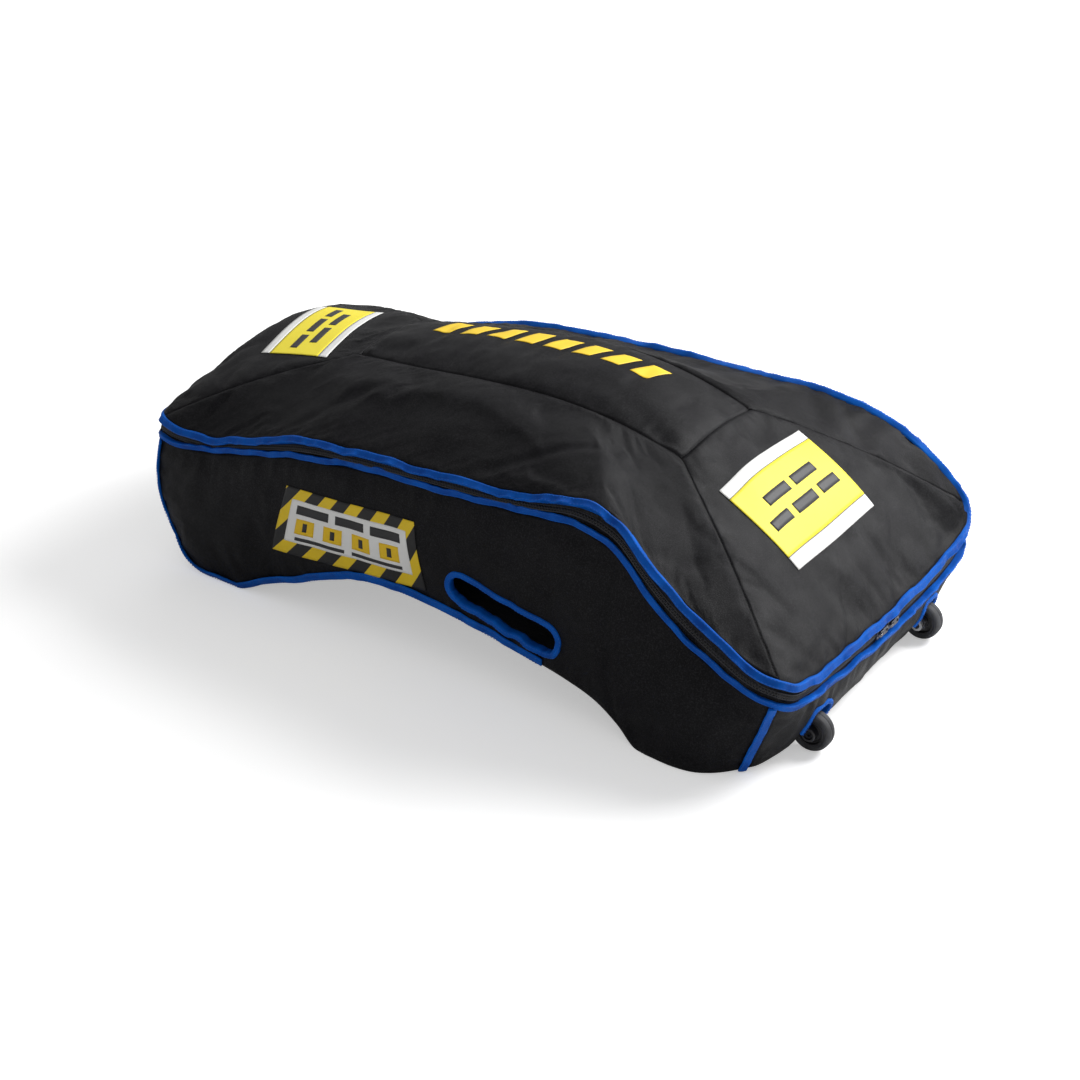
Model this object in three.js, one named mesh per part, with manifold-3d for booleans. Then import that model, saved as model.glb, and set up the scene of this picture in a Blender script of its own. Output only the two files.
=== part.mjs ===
// A padded wheeled travel case: an arched tub on two feet, a hipped lid zipped to it, and two small wheels.
// Millimetres. +X points to the wheel end, -Y is the case's right side, +Z is up and z = 0 is the floor.
// The origin is the middle of the case's footprint.
import * as THREE from "three";
import { mergeVertices } from "three/addons/utils/BufferGeometryUtils.js";
import Module from "manifold-3d";

const wasm = await Module();
wasm.setup();

// ---------- driving dimensions ----------
const HALF_LENGTH = 498.4; // centre to the front of the wheels, and to the back of the grab handle
const PANEL = 8; // thickness of a padded panel
const GAP = 0.6; // clearance between two sewn neighbours
const BINDING = 12; // width of the edge binding
const PROUD = 1.5; // how far a binding stands out of the panel beside it

const TAPE_IN = 3.5; // how deep the zip tape sits behind the panels' outer face
const TAPE_THICK = 2;
const COIL_HALF = 2.6; // height of one half of the zip's coil
const COIL_IN = 2.4;
const COIL_THICK = 4;

const WHEEL_R = 25;
const WHEEL_WIDTH = 20;
const WHEEL_Y = 153; // wheel centre, each side of the middle
const WHEEL_X = HALF_LENGTH - WHEEL_R;
const WHEEL_Z = WHEEL_R + 1.5; // the wheels hang just clear of the floor while the case rests on its feet
const AXLE_R = 4;
const BUSH_R = 6;
const HUB_R = 17;
const ARM_THICK = 3;

const SLOT = { x: 104, z: 111, length: 178, height: 52, tilt: -0.19 }; // hand slot, outside of its binding
const SLOT_BINDING = 8;
const CUTOUT = { y: 149, half: 30, top: 64, binding: 8, bound: 32 }; // wheel cut-out; it is bound above `bound`

const SLIDER_Y = 15; // each zip slider, from the middle of the wheel end
const HANDLE = { z: 112, reach: 84, width: 25, thick: 3 };
const FAR_HALF_WIDTH = 226; // of the far end wall

// ---------- guide curves ----------
// Each guide is a smooth line through a few points [x, y, z]; it is read from 0 to 1 along its length.
function guide(points) {
  const curve = new THREE.CatmullRomCurve3(
    points.map((p) => new THREE.Vector3(...p)),
    false,
    "centripetal",
  );
  curve.arcLengthDivisions = 400;
  return (t) => curve.getPointAt(Math.min(Math.max(t, 0), 1));
}

const mirrorY = (points) => points.map(([x, y, z]) => [x, -y, z]);

// Middle of the lid's edge binding. The right side sags where it turns down to the wheel end.
const lidEdge = {
  right: guide([
    [-460, -223, 216], [-436, -230, 212], [-380, -231, 210], [-296, -235, 230], [-200, -238, 256],
    [-110, -241, 263], [14, -245, 269], [124, -247, 276], [209, -248, 290], [253, -249, 284],
    [291, -250, 250], [344, -251, 205], [395, -252, 173], [444, -254, 147], [474, -249, 138],
  ]),
  left: guide([
    [-460, 223, 216], [-436, 230, 212], [-380, 231, 212], [-296, 235, 230], [-200, 238, 252],
    [-84, 242, 262], [66, 247, 264], [210, 251, 261], [266, 254, 259], [300, 256, 253],
    [363, 260, 236], [417, 263, 205], [456, 265, 170], [478, 259, 146],
  ]),
  wheel: guide([
    [474, -249, 138], [483, -235, 128], [486, -143, 113], [487, -49, 110], [487, 33, 106],
    [487, 107, 109], [487, 197, 112], [485, 242, 124], [478, 259, 146],
  ]),
  far: guide([[-460, -223, 216], [-473, -202, 214], [-476, 0, 211], [-473, 202, 214], [-460, 223, 216]]),
};

// Middle of the tub's edge binding, under the zip.
const tubEdge = {
  right: guide([
    [-466, -225, 187], [-440, -231, 186], [-380, -231, 189], [-331, -233, 200], [-223, -237, 226],
    [-81, -241, 241], [60, -245, 248], [156, -247, 254], [211, -248, 258], [246, -249, 246],
    [281, -250, 216], [316, -250, 180], [367, -251, 145], [411, -252, 123], [446, -254, 111],
    [474, -249, 107],
  ]),
  left: guide([
    [-466, 225, 187], [-440, 231, 186], [-331, 233, 200], [-223, 237, 225], [-81, 242, 239],
    [60, 245, 241], [210, 249, 238], [276, 251, 232], [326, 252, 219], [381, 254, 197],
    [426, 255, 166], [456, 257, 138], [475, 251, 116],
  ]),
  wheel: guide([
    [474, -249, 107], [483, -235, 100], [486, -143, 85], [487, -49, 77], [487, 60, 74],
    [486, 175, 77], [484, 236, 91], [475, 251, 116],
  ]),
  far: guide([[-466, -225, 187], [-476, -203, 185], [-478, 0, 182], [-476, 203, 185], [-466, 225, 187]]),
};

// Lower edge of the tub's walls: a foot at each end and an arch between them.
// The guide dips below the floor at the feet and is held at z = 0, so the feet are truly flat.
const WALL_FOOT = [
  [-452, -214, 34], [-440, -223, 18], [-420, -228, 5], [-390, -230, -3], [-358, -231, -5],
  [-332, -232, -2], [-298, -233, 18], [-212, -236, 51], [-169, -238, 70],
  [-129, -239, 82], [-64, -240, 87], [-11, -241, 83], [71, -246, 73], [156, -252, 58],
  [230, -258, 42], [272, -263, 20], [296, -268, 2], [312, -272, -3], [337, -276, -4],
  [367, -277, -4], [390, -271, -4], [410, -257, -3], [424, -245, -1], [434, -234, 2],
];
const onFloor = (curve) => (t) => {
  const p = curve(t);
  p.z = Math.max(p.z, 0);
  return p;
};
const foot = {
  right: onFloor(guide(WALL_FOOT)),
  left: onFloor(guide(mirrorY(WALL_FOOT))),
  wheel: guide([
    [434, -234, 2], [450, -220, 5], [457, -180, 9], [459, 0, 9], [457, 180, 9], [450, 220, 5],
    [434, 234, 2],
  ]),
  far: guide([[-452, -214, 34], [-460, -194, 36], [-462, 0, 36], [-460, 194, 36], [-452, 214, 34]]),
};

// The lid's top panel: two long seams and two cross seams.
const LONG_SEAM = [
  [-245, -68, 303], [-144, -84, 315], [-34, -91, 326], [66, -91, 328], [156, -88, 317], [247, -84, 292],
];
const seam = {
  right: guide(LONG_SEAM),
  left: guide(mirrorY(LONG_SEAM)),
  wheel: guide([[247, -84, 292], [249, 0, 301], [247, 84, 292]]),
  far: guide([[-245, -68, 303], [-247, 0, 309], [-245, 68, 303]]),
};

const lifted = (curve, dz) => (t) => curve(t).add(new THREE.Vector3(0, 0, dz));

// ---------- surfaces ----------
// A panel stretched from one guide to another and puffed out by its padding.
// puff is [x, y, z]: how far its middle stands out; hold is the share of it kept at the panel's two ends.
// bow lifts its side edges too, so two panels that share an edge share their bow.
// A dome stays high until close to the lower guide, and is fuller on the left.
function panel(top, bottom, puff, { bow = 0, peak = 0.5, dome = 0, hold = 0 } = {}) {
  const out = new THREE.Vector3(...puff);
  return (u, v) => {
    const along = 1 - (1 - hold) * (2 * u - 1) ** 6;
    const down = Math.sin(Math.PI * v ** (Math.log(0.5) / Math.log(peak)));
    const p = top(u).lerp(bottom(u), v);
    p.z += bow * Math.sin(Math.PI * v);
    p.z += dome * Math.sin(Math.PI * u ** 1.2) * v ** 2 * Math.sqrt(1 - v ** 14);
    return p.addScaledVector(out, along * down);
  };
}

// The tub's far end bulges outwards and takes the ends of the side walls with it.
const FAR_BULGE = 20;
const bulged = (wall, reach) => (u, v) => {
  const p = wall(u, v);
  p.x -= FAR_BULGE * Math.sin(Math.PI * v) * (reach ? Math.exp(-((u / reach) ** 1.5)) : 1);
  return p;
};

// The case's core. A wall gets its thickness along the line from the core to the wall, so that
// neighbouring walls share the direction at their seam and never cut into each other.
const core = new THREE.Box3(new THREE.Vector3(-300, -110, 100), new THREE.Vector3(250, 110, 180));
const fromCore = (p) => p.clone().sub(core.clampPoint(p, new THREE.Vector3())).normalize();
const straightDown = () => new THREE.Vector3(0, 0, -1);

// ---------- solids ----------
// Neighbours along an edge are divided at the same places, so their flat facets lie side by side.
// The divisions lie closer together towards the corners, where the edges turn most.
const BUNCHING = 0.5;
const bunched = (t) => t - (BUNCHING * Math.sin(2 * Math.PI * t)) / (2 * Math.PI);
const divided = (columns) => Array.from({ length: columns + 1 }, (_, i) => bunched(i / columns));
const SIDE = divided(24);
const END = divided(10);
const LID_ROWS = 8;
const TUB_ROWS = 4;

// The same divisions, run together over several legs of a loop, from 0 to 1.
const joined = (legs) => [0, ...legs.flatMap((leg, k) => leg.slice(1).map((t) => (k + t) / legs.length))];

function solidFrom(vertices, triangles) {
  const geometry = new THREE.BufferGeometry();
  const numbers = vertices.flatMap((p) => [p.x, p.y, p.z]);
  geometry.setAttribute("position", new THREE.Float32BufferAttribute(numbers, 3));
  geometry.setIndex(triangles.flat());
  return geometry;
}

const toManifold = (geometry) => {
  const bare = geometry.clone();
  bare.deleteAttribute("normal");
  bare.deleteAttribute("uv");
  const merged = mergeVertices(bare, 1e-4);
  return new wasm.Manifold(
    new wasm.Mesh({
      numProp: 3,
      vertProperties: new Float32Array(merged.attributes.position.array),
      triVerts: new Uint32Array(merged.index.array),
    }),
  );
};

function fromManifold(solid) {
  const { vertProperties, triVerts } = solid.getMesh();
  const geometry = new THREE.BufferGeometry();
  geometry.setAttribute("position", new THREE.BufferAttribute(new Float32Array(vertProperties), 3));
  geometry.setIndex(new THREE.BufferAttribute(new Uint32Array(triVerts), 1));
  return geometry.toNonIndexed();
}

// A closed sheet of material on a surface, from `inner` to `outer` along the given direction.
// range trims it to part of the surface; a ring joins its last column to its first.
function sheet(surface, options) {
  const { stops, rows, outer = 0, inner = -PANEL } = options;
  const { range = [0, 1, 0, 1], ring = false, out = fromCore } = options;
  const [u0, u1, v0, v1] = range;
  const columns = stops.length - 1;
  const vertices = [];
  for (const depth of [outer, inner]) {
    for (const stop of stops) {
      for (let j = 0; j <= rows; j++) {
        const p = surface(u0 + (u1 - u0) * stop, v0 + ((v1 - v0) * j) / rows);
        vertices.push(p.clone().addScaledVector(out(p), depth));
      }
    }
  }
  const layer = (columns + 1) * (rows + 1);
  const at = (side, i, j) => side * layer + (ring ? i % columns : i) * (rows + 1) + j;
  const triangles = [];
  const quad = (a, b, c, d) => triangles.push([a, b, c], [a, c, d]);
  for (let i = 0; i < columns; i++) {
    for (let j = 0; j < rows; j++) {
      quad(at(0, i, j), at(0, i, j + 1), at(0, i + 1, j + 1), at(0, i + 1, j));
      quad(at(1, i, j), at(1, i + 1, j), at(1, i + 1, j + 1), at(1, i, j + 1));
    }
    quad(at(0, i, 0), at(0, i + 1, 0), at(1, i + 1, 0), at(1, i, 0));
    quad(at(0, i, rows), at(1, i, rows), at(1, i + 1, rows), at(0, i + 1, rows));
  }
  for (let j = 0; j < rows && !ring; j++) {
    quad(at(0, 0, j), at(1, 0, j), at(1, 0, j + 1), at(0, 0, j + 1));
    quad(at(0, columns, j), at(0, columns, j + 1), at(1, columns, j + 1), at(1, columns, j));
  }
  return facingOut(solidFrom(vertices, triangles));
}

// Turns a closed mesh's faces round where they point inwards.
function facingOut(geometry) {
  const positions = geometry.attributes.position;
  const index = geometry.index.array;
  const [a, b, c] = [new THREE.Vector3(), new THREE.Vector3(), new THREE.Vector3()];
  let volume = 0;
  for (let i = 0; i < index.length; i += 3) {
    a.fromBufferAttribute(positions, index[i]);
    b.fromBufferAttribute(positions, index[i + 1]);
    c.fromBufferAttribute(positions, index[i + 2]);
    volume += a.dot(b.cross(c));
  }
  for (let i = 0; i < index.length && volume < 0; i += 3) {
    [index[i + 1], index[i + 2]] = [index[i + 2], index[i + 1]];
  }
  return mergeVertices(geometry, 1e-5);
}

// A flat strap along a path: `width` across, lying from `low` to `high` outside the path.
function strap(path, { width, low, high, steps, out = fromCore }) {
  const across = (t) => {
    const ahead = path(Math.min(t + 0.01, 1)).sub(path(Math.max(t - 0.01, 0)));
    return ahead.cross(out(path(t))).normalize();
  };
  const outward = (t) => {
    const ahead = path(Math.min(t + 0.01, 1)).sub(path(Math.max(t - 0.01, 0)));
    return across(t).cross(ahead).normalize();
  };
  const surface = (u, v) => path(u).addScaledVector(across(u), (v - 0.5) * width);
  const vertices = [];
  const corners = [[0, high], [1, high], [1, low], [0, low]];
  for (let i = 0; i <= steps; i++) {
    for (const [v, depth] of corners) {
      vertices.push(surface(i / steps, v).addScaledVector(outward(i / steps), depth));
    }
  }
  const triangles = [[0, 1, 2], [0, 2, 3]];
  for (let i = 0; i < steps; i++) {
    for (let j = 0; j < 4; j++) {
      const [p, q] = [4 * i + j, 4 * i + ((j + 1) % 4)];
      triangles.push([p, p + 4, q + 4], [p, q + 4, q]);
    }
  }
  const last = 4 * steps;
  triangles.push([last, last + 2, last + 1], [last, last + 3, last + 2]);
  return facingOut(solidFrom(vertices, triangles));
}

// ---------- outlines and prisms ----------
// A flat outline pushed straight through a wall, along -Y or along X.
function prismAlongY(shape, y0, y1) {
  const prism = new THREE.ExtrudeGeometry(shape, { depth: y1 - y0, bevelEnabled: false, curveSegments: 10 });
  prism.rotateX(Math.PI / 2);
  return prism.translate(0, y1, 0);
}

function prismAlongX(shape, x0, x1) {
  const prism = new THREE.ExtrudeGeometry(shape, { depth: x1 - x0, bevelEnabled: false, curveSegments: 8 });
  prism.rotateX(Math.PI / 2);
  prism.rotateZ(Math.PI / 2);
  return prism.translate(x0, 0, 0);
}

function stadium(cx, cy, length, height, tilt) {
  const radius = height / 2;
  const reach = length / 2 - radius;
  const ends = [
    [cx + reach * Math.cos(tilt), cy + reach * Math.sin(tilt)],
    [cx - reach * Math.cos(tilt), cy - reach * Math.sin(tilt)],
  ];
  const shape = new THREE.Shape();
  shape.absarc(...ends[0], radius, tilt - Math.PI / 2, tilt + Math.PI / 2, false);
  shape.absarc(...ends[1], radius, tilt + Math.PI / 2, tilt + 1.5 * Math.PI, false);
  shape.closePath();
  return shape;
}

function archway(middle, half, top, bottom) {
  const radius = half * 0.6;
  const shape = new THREE.Shape();
  shape.moveTo(middle - half, bottom);
  shape.lineTo(middle + half, bottom);
  shape.absarc(middle + half - radius, top - radius, radius, 0, Math.PI / 2, false);
  shape.absarc(middle - half + radius, top - radius, radius, Math.PI / 2, Math.PI, false);
  shape.closePath();
  return shape;
}

function polygon(points) {
  return new THREE.Shape(points.map(([x, y]) => new THREE.Vector2(x, y)));
}

const slotPrism = (side, inset) => {
  const shape = stadium(SLOT.x, SLOT.z, SLOT.length - 2 * inset, SLOT.height - 2 * inset, SLOT.tilt);
  return toManifold(side < 0 ? prismAlongY(shape, -300, -150) : prismAlongY(shape, 150, 300));
};

const cutoutPrism = (side, inset) =>
  toManifold(prismAlongX(archway(side * CUTOUT.y, CUTOUT.half - inset, CUTOUT.top - inset, -20), 400, 520));

// ---------- colours ----------
function finish(color, roughness, metalness = 0) {
  return new THREE.MeshStandardMaterial({ color, roughness, metalness });
}
const FABRIC = finish(0x2b2a2e, 0.9);
const BLUE = finish(0x0a50cd, 0.8);
const ZIP = finish(0x17171a, 0.6);
const BOARD = finish(0x202124, 0.7);
const PLASTIC = finish(0x26272a, 0.55);
const RUBBER = finish(0x2d2e30, 0.85);
const STEEL = finish(0x9a9da0, 0.35, 0.9);
const PRINT = finish(0xe9d42a, 0.7);
const WEBBING = finish(0x1c1c1f, 0.85);

const travelCase = new THREE.Group();
function add(name, geometry, material) {
  const mesh = new THREE.Mesh(geometry, material);
  mesh.name = name;
  travelCase.add(mesh);
  return mesh;
}

// ---------- lid ----------
const HALF_BINDING = BINDING / 2;
const seamTrim = [0.001, 0.999, 0.003, 1];

const HIP_BOW = 10;
const FAR_DOME = 60;
const lidLower = (edge) => lifted(lidEdge[edge], HALF_BINDING);
const lidSurface = {
  right: panel(seam.right, lidLower("right"), [0, -6, 0], { bow: HIP_BOW }),
  left: panel(seam.left, lidLower("left"), [0, 4, -3], { bow: HIP_BOW }),
  wheel: panel(seam.wheel, lidLower("wheel"), [6, 0, 2], { bow: HIP_BOW }),
  far: panel(seam.far, lidLower("far"), [-6, 0, 0], { bow: HIP_BOW, peak: 0.75, dome: FAR_DOME }),
  top: panel(seam.right, seam.left, [0, 0, 12], { hold: 0.7 }),
};

function addLidPanels() {
  const top = { stops: SIDE, rows: LID_ROWS, range: [0.002, 0.998, 0.004, 0.996] };
  add("lid_top_panel", sheet(lidSurface.top, top), FABRIC);
  const sloped = { rows: LID_ROWS, range: seamTrim };
  for (const side of ["right", "left"]) {
    add(`lid_${side}_panel`, sheet(lidSurface[side], { stops: SIDE, ...sloped }), FABRIC);
  }
  for (const end of ["wheel", "far"]) {
    add(`lid_${end}_end_panel`, sheet(lidSurface[end], { stops: END, ...sloped }), FABRIC);
  }
}

// A point on the closed loop right, wheel end, left, far end. t runs from 0 to 4.
function around(edges, t) {
  const leg = Math.min(Math.floor(t), 3);
  const part = t - leg;
  const legs = [
    () => edges.right(part),
    () => edges.wheel(part),
    () => edges.left(1 - part),
    () => edges.far(1 - part),
  ];
  return legs[leg]();
}

function bindingLoop(edges, top, bottom, outer, inner) {
  const surface = (u, v) => around(edges, (4 * u) % 4).add(new THREE.Vector3(0, 0, top + (bottom - top) * v));
  return sheet(surface, { stops: joined([SIDE, END, SIDE, END]), rows: 1, outer, inner, ring: true });
}

// The open gap between lid and tub, from the right side round the wheel end to the left side.
function zipPoint(t, edges) {
  return around(edges, 3 * Math.min(t, 0.99999));
}

function zipStrip(from, to, outer, inner) {
  return sheet((u, v) => from(u).lerp(to(u), v), {
    stops: joined([SIDE, END, SIDE]), rows: 1, outer, inner, range: [0.0005, 0.9995, 0, 1],
  });
}

const lidLow = (t) => zipPoint(t, lidEdge).add(new THREE.Vector3(0, 0, -HALF_BINDING - GAP));
const tubHigh = (t) => zipPoint(t, tubEdge).add(new THREE.Vector3(0, 0, HALF_BINDING + GAP));
const zipMiddle = (t, dz) => lidLow(t).lerp(tubHigh(t), 0.5).add(new THREE.Vector3(0, 0, dz));

function addZip() {
  const half = GAP / 2;
  const beside = (dz) => (t) => zipMiddle(t, dz);
  const tape = [-TAPE_IN, -TAPE_IN - TAPE_THICK];
  const coil = [-COIL_IN, -COIL_IN - COIL_THICK];
  add("lid_zip_tape", zipStrip(lidLow, beside(COIL_HALF + GAP), ...tape), ZIP);
  add("lid_zip_coil", zipStrip(beside(COIL_HALF), beside(half), ...coil), ZIP);
  add("tub_zip_coil", zipStrip(beside(-half), beside(-COIL_HALF), ...coil), ZIP);
  add("tub_zip_tape", zipStrip(beside(-COIL_HALF - GAP), tubHigh, ...tape), ZIP);
  const strip = (u, v) => {
    const high = lifted(lidEdge.far, -HALF_BINDING - GAP)(u);
    return high.lerp(lifted(tubEdge.far, HALF_BINDING + GAP)(u), v);
  };
  const hinge = { stops: END, rows: 1, outer: -0.5, inner: -2.5, range: [0.01, 0.99, 0, 1] };
  add("lid_hinge_strip", sheet(strip, hinge), WEBBING);
}

// ---------- tub ----------
const tubUpper = (edge) => lifted(tubEdge[edge], -HALF_BINDING);
const tubSurface = {
  right: bulged(panel(tubUpper("right"), foot.right, [0, -9, 0], { peak: 0.6 }), 0.06),
  left: bulged(panel(tubUpper("left"), foot.left, [0, 9, 0], { peak: 0.6 }), 0.06),
  wheel: panel(tubUpper("wheel"), foot.wheel, [4, 0, 0]),
  far: bulged(panel(tubUpper("far"), foot.far, [5, 0, -2]), 0),
};

const wallTrim = [0.001, 0.999, 0.006, 1];
const sideWall = { stops: SIDE, rows: TUB_ROWS, range: wallTrim };
const endWall = { stops: END, rows: TUB_ROWS, range: [0.001, 0.999, 0.01, 1] };
const lipped = { outer: PROUD, inner: -PANEL - PROUD }; // as deep as a binding round a hole's edge

function addTubWalls() {
  for (const [side, sign] of [["right", -1], ["left", 1]]) {
    const wall = toManifold(sheet(tubSurface[side], sideWall));
    add(`tub_${side}_panel`, fromManifold(wall.subtract(slotPrism(sign, -GAP))), FABRIC);
    const lip = toManifold(sheet(tubSurface[side], { ...sideWall, ...lipped }));
    const ring = lip.intersect(slotPrism(sign, 0)).subtract(slotPrism(sign, SLOT_BINDING));
    add(`hand_slot_binding_${side}`, fromManifold(ring), BLUE);
  }
  let end = toManifold(sheet(tubSurface.wheel, endWall));
  const lip = toManifold(sheet(tubSurface.wheel, { ...endWall, ...lipped }));
  for (const [side, sign] of [["right", -1], ["left", 1]]) {
    end = end.subtract(cutoutPrism(sign, -GAP));
    const ring = lip.intersect(cutoutPrism(sign, 0)).subtract(cutoutPrism(sign, CUTOUT.binding));
    const arch = ring.subtract(box(400, 520, -300, 300, -20, CUTOUT.bound));
    add(`wheel_cutout_binding_${side}`, fromManifold(arch), BLUE);
  }
  add("tub_wheel_end_panel", fromManifold(end), FABRIC);
  add("tub_far_end_panel", sheet(tubSurface.far, { stops: END, rows: TUB_ROWS, range: wallTrim }), FABRIC);
}

// The base lies between the walls, so it is narrower than they are by a panel's thickness each side.
function addBase() {
  const inset = new THREE.Vector3(0, PANEL + 3, 0);
  const surface = (u, v) => foot.right(u).add(inset).lerp(foot.left(u).sub(inset), v);
  const between = { stops: SIDE, rows: 2, out: straightDown, range: [0.016, 0.968, 0, 1] };
  add("tub_base_panel", sheet(surface, between), FABRIC);
}

// ---------- bindings ----------
// A binding laid over part of a side wall: [u0, u1] along the wall and [v0, v1] down it.
const LAID = { outer: 2.6, inner: 0.8 };
function wallBinding(side, [u0, u1], [v0, v1]) {
  const stops = [u0, ...SIDE.filter((t) => t > u0 + 0.005 && t < u1 - 0.005), u1];
  const rows = v1 - v0 > 0.5 ? 6 : 1;
  return sheet(tubSurface[side], { stops, rows, ...LAID, range: [0.001, 0.999, v0, v1] });
}

function addBindings() {
  add("lid_binding", bindingLoop(lidEdge, HALF_BINDING - GAP, -HALF_BINDING, PROUD, -PANEL - PROUD), BLUE);
  add("tub_binding", bindingLoop(tubEdge, HALF_BINDING, -HALF_BINDING + GAP, PROUD, -PANEL - PROUD), BLUE);
  for (const side of ["right", "left"]) {
    add(`wheel_corner_binding_${side}`, wallBinding(side, [0.985, 1], [0.08, 0.97]), BLUE);
    add(`far_corner_binding_${side}`, wallBinding(side, [0, 0.014], [0.08, 0.9]), BLUE);
    add(`lower_edge_binding_${side}`, wallBinding(side, [0.02, 0.68], [0.945, 0.988]), BLUE);
  }
}

// ---------- printed patches ----------
// A thin patch that follows a panel, cut to an outline seen along Y or from above.
function patch(surface, prism, options) {
  const skin = toManifold(sheet(surface, { ...options, outer: 1.1, inner: 0.4 }));
  return fromManifold(skin.intersect(prism));
}

function fromAbove(shape, z0, z1) {
  const prism = new THREE.ExtrudeGeometry(shape, { depth: z1 - z0, bevelEnabled: false });
  return toManifold(prism.translate(0, 0, z0));
}

function addPatches() {
  const endLabel = { stops: END, rows: LID_ROWS, range: seamTrim };
  const wheelLabel = polygon([[302, -90], [411, -90], [411, 111], [302, 111]]);
  add("wheel_end_label", patch(lidSurface.wheel, fromAbove(wheelLabel, 150, 330), endLabel), PRINT);
  const farLabel = polygon([[-398, -88], [-286, -88], [-330, 92], [-444, 92]]);
  add("far_end_label", patch(lidSurface.far, fromAbove(farLabel, 200, 340), endLabel), PRINT);
  const sticker = polygon([[-232, 186], [-26, 197], [-15, 101], [-264, 86]]);
  const outline = toManifold(prismAlongY(sticker, -300, -150));
  add("side_label", patch(tubSurface.right, outline, sideWall), PRINT);
}

// ---------- zip sliders ----------
function box(x0, x1, y0, y1, z0, z1) {
  const block = new THREE.BoxGeometry(x1 - x0, y1 - y0, z1 - z0);
  return toManifold(block.translate((x0 + x1) / 2, (y0 + y1) / 2, (z0 + z1) / 2));
}

// The slider's plate lies over the coil, with a bridge that the pull's eye turns under.
function sliderGeometry() {
  const plate = box(0, 2, -6, 6, -5, 5);
  const bridge = box(1.5, 5.9, -4.7, 4.7, -1.5, 1.5).subtract(box(1, 4.9, -3.5, 3.5, -3, 3));
  return fromManifold(plate.add(bridge));
}

const PULL_AXIS = 3.5; // the pull's turning line, above the back of the slider's plate
const PULL = { root: -0.8, rootHalf: 3.8, tip: 16, tipHalf: 4.4, thick: 1.4, hole: 2.2 };
const EYE = { near: 0.9, far: 7.2, half: 2.5 };

// A flat tag with a long eye that the slider's bridge runs through, and a round hole near its free end.
function pullGeometry() {
  const outline = new THREE.Shape();
  outline.moveTo(PULL.root, -PULL.rootHalf);
  outline.lineTo(PULL.tip, -PULL.tipHalf);
  outline.absarc(PULL.tip, 0, PULL.tipHalf, -Math.PI / 2, Math.PI / 2, false);
  outline.lineTo(PULL.root, PULL.rootHalf);
  outline.closePath();
  const eye = new THREE.Path();
  eye.moveTo(EYE.near, -EYE.half);
  eye.lineTo(EYE.near, EYE.half);
  eye.lineTo(EYE.far, EYE.half);
  eye.lineTo(EYE.far, -EYE.half);
  eye.closePath();
  const hole = new THREE.Path();
  hole.absarc(PULL.tip - 0.4, 0, PULL.hole, 0, 2 * Math.PI, true);
  outline.holes.push(eye, hole);
  const flat = { depth: PULL.thick, bevelEnabled: false, curveSegments: 8 };
  const pull = new THREE.ExtrudeGeometry(outline, flat);
  pull.translate(0, 0, -PULL.thick / 2);
  pull.rotateX(Math.PI / 2);
  pull.rotateZ(Math.PI / 2);
  return pull;
}

const WHEEL_END_WIDTH = 496; // length of the zip's leg across the wheel end
function addSliders() {
  for (const [side, sign] of [["right", -1], ["left", 1]]) {
    const t = (1.5 + (sign * SLIDER_Y) / WHEEL_END_WIDTH) / 3;
    const place = zipMiddle(t, 0);
    const holder = new THREE.Group();
    holder.position.set(place.x - COIL_IN + 0.4, sign * SLIDER_Y, place.z);
    travelCase.add(holder);
    const slider = new THREE.Mesh(sliderGeometry(), ZIP);
    slider.name = `zip_slider_${side}`;
    const pull = new THREE.Mesh(pullGeometry(), ZIP);
    pull.name = `zip_pull_${side}`;
    pull.position.x = PULL_AXIS;
    holder.add(slider, pull);
  }
}

// ---------- wheels ----------
function turned(profile, segments) {
  const points = profile.map(([r, z]) => new THREE.Vector2(r, z));
  return new THREE.LatheGeometry(points, segments);
}

function tyreGeometry() {
  const half = WHEEL_WIDTH / 2;
  const inside = HUB_R + 0.3;
  return turned([
    [inside, -half + 1], [WHEEL_R - 4, -half], [WHEEL_R - 1, -half + 2], [WHEEL_R, -half + 5],
    [WHEEL_R, half - 5], [WHEEL_R - 1, half - 2], [WHEEL_R - 4, half], [inside, half - 1],
    [inside, -half + 1],
  ], 24);
}

// The hub has a rim, a thin web and a long boss; its profile closes on itself round the bush.
function hubGeometry() {
  const half = WHEEL_WIDTH / 2;
  const bore = BUSH_R + 0.1;
  const boss = BUSH_R + 4.5;
  const rim = HUB_R - 3;
  return turned([
    [bore, -half + 1], [boss, -half + 1], [boss, -3], [rim, -3], [rim, -half + 1.5], [HUB_R, -half + 1.5],
    [HUB_R, half - 1.5], [rim, half - 1.5], [rim, 3], [boss, 3], [boss, half - 1], [bore, half - 1],
    [bore, -half + 1],
  ], 24);
}

const BUSH_HALF = WHEEL_WIDTH / 2 - 0.6;
function bushGeometry() {
  const bore = AXLE_R + 0.1;
  const half = BUSH_HALF;
  return turned([[bore, -half], [BUSH_R, -half], [BUSH_R, half], [bore, half], [bore, -half]], 16);
}

// The axle bolt's head sits outside the wheel; its shank runs in through the bush and the arm.
const ARM_NEAR = WHEEL_WIDTH / 2 + 1;
const NUT_NEAR = ARM_NEAR + ARM_THICK + 0.3;
const NUT_THICK = 6;
function axleGeometry() {
  const head = -WHEEL_WIDTH / 2 - 0.2;
  const tip = NUT_NEAR + NUT_THICK + 1;
  return turned([
    [0, head - 3], [4.5, head - 3], [6.2, head - 1.5], [6.2, head], [AXLE_R, head], [AXLE_R, tip], [0, tip],
  ], 16);
}

function nutGeometry() {
  const bore = AXLE_R + 0.35;
  return turned([[bore, 0], [7.5, 0], [7.5, NUT_THICK], [bore, NUT_THICK], [bore, 0]], 12);
}

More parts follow.
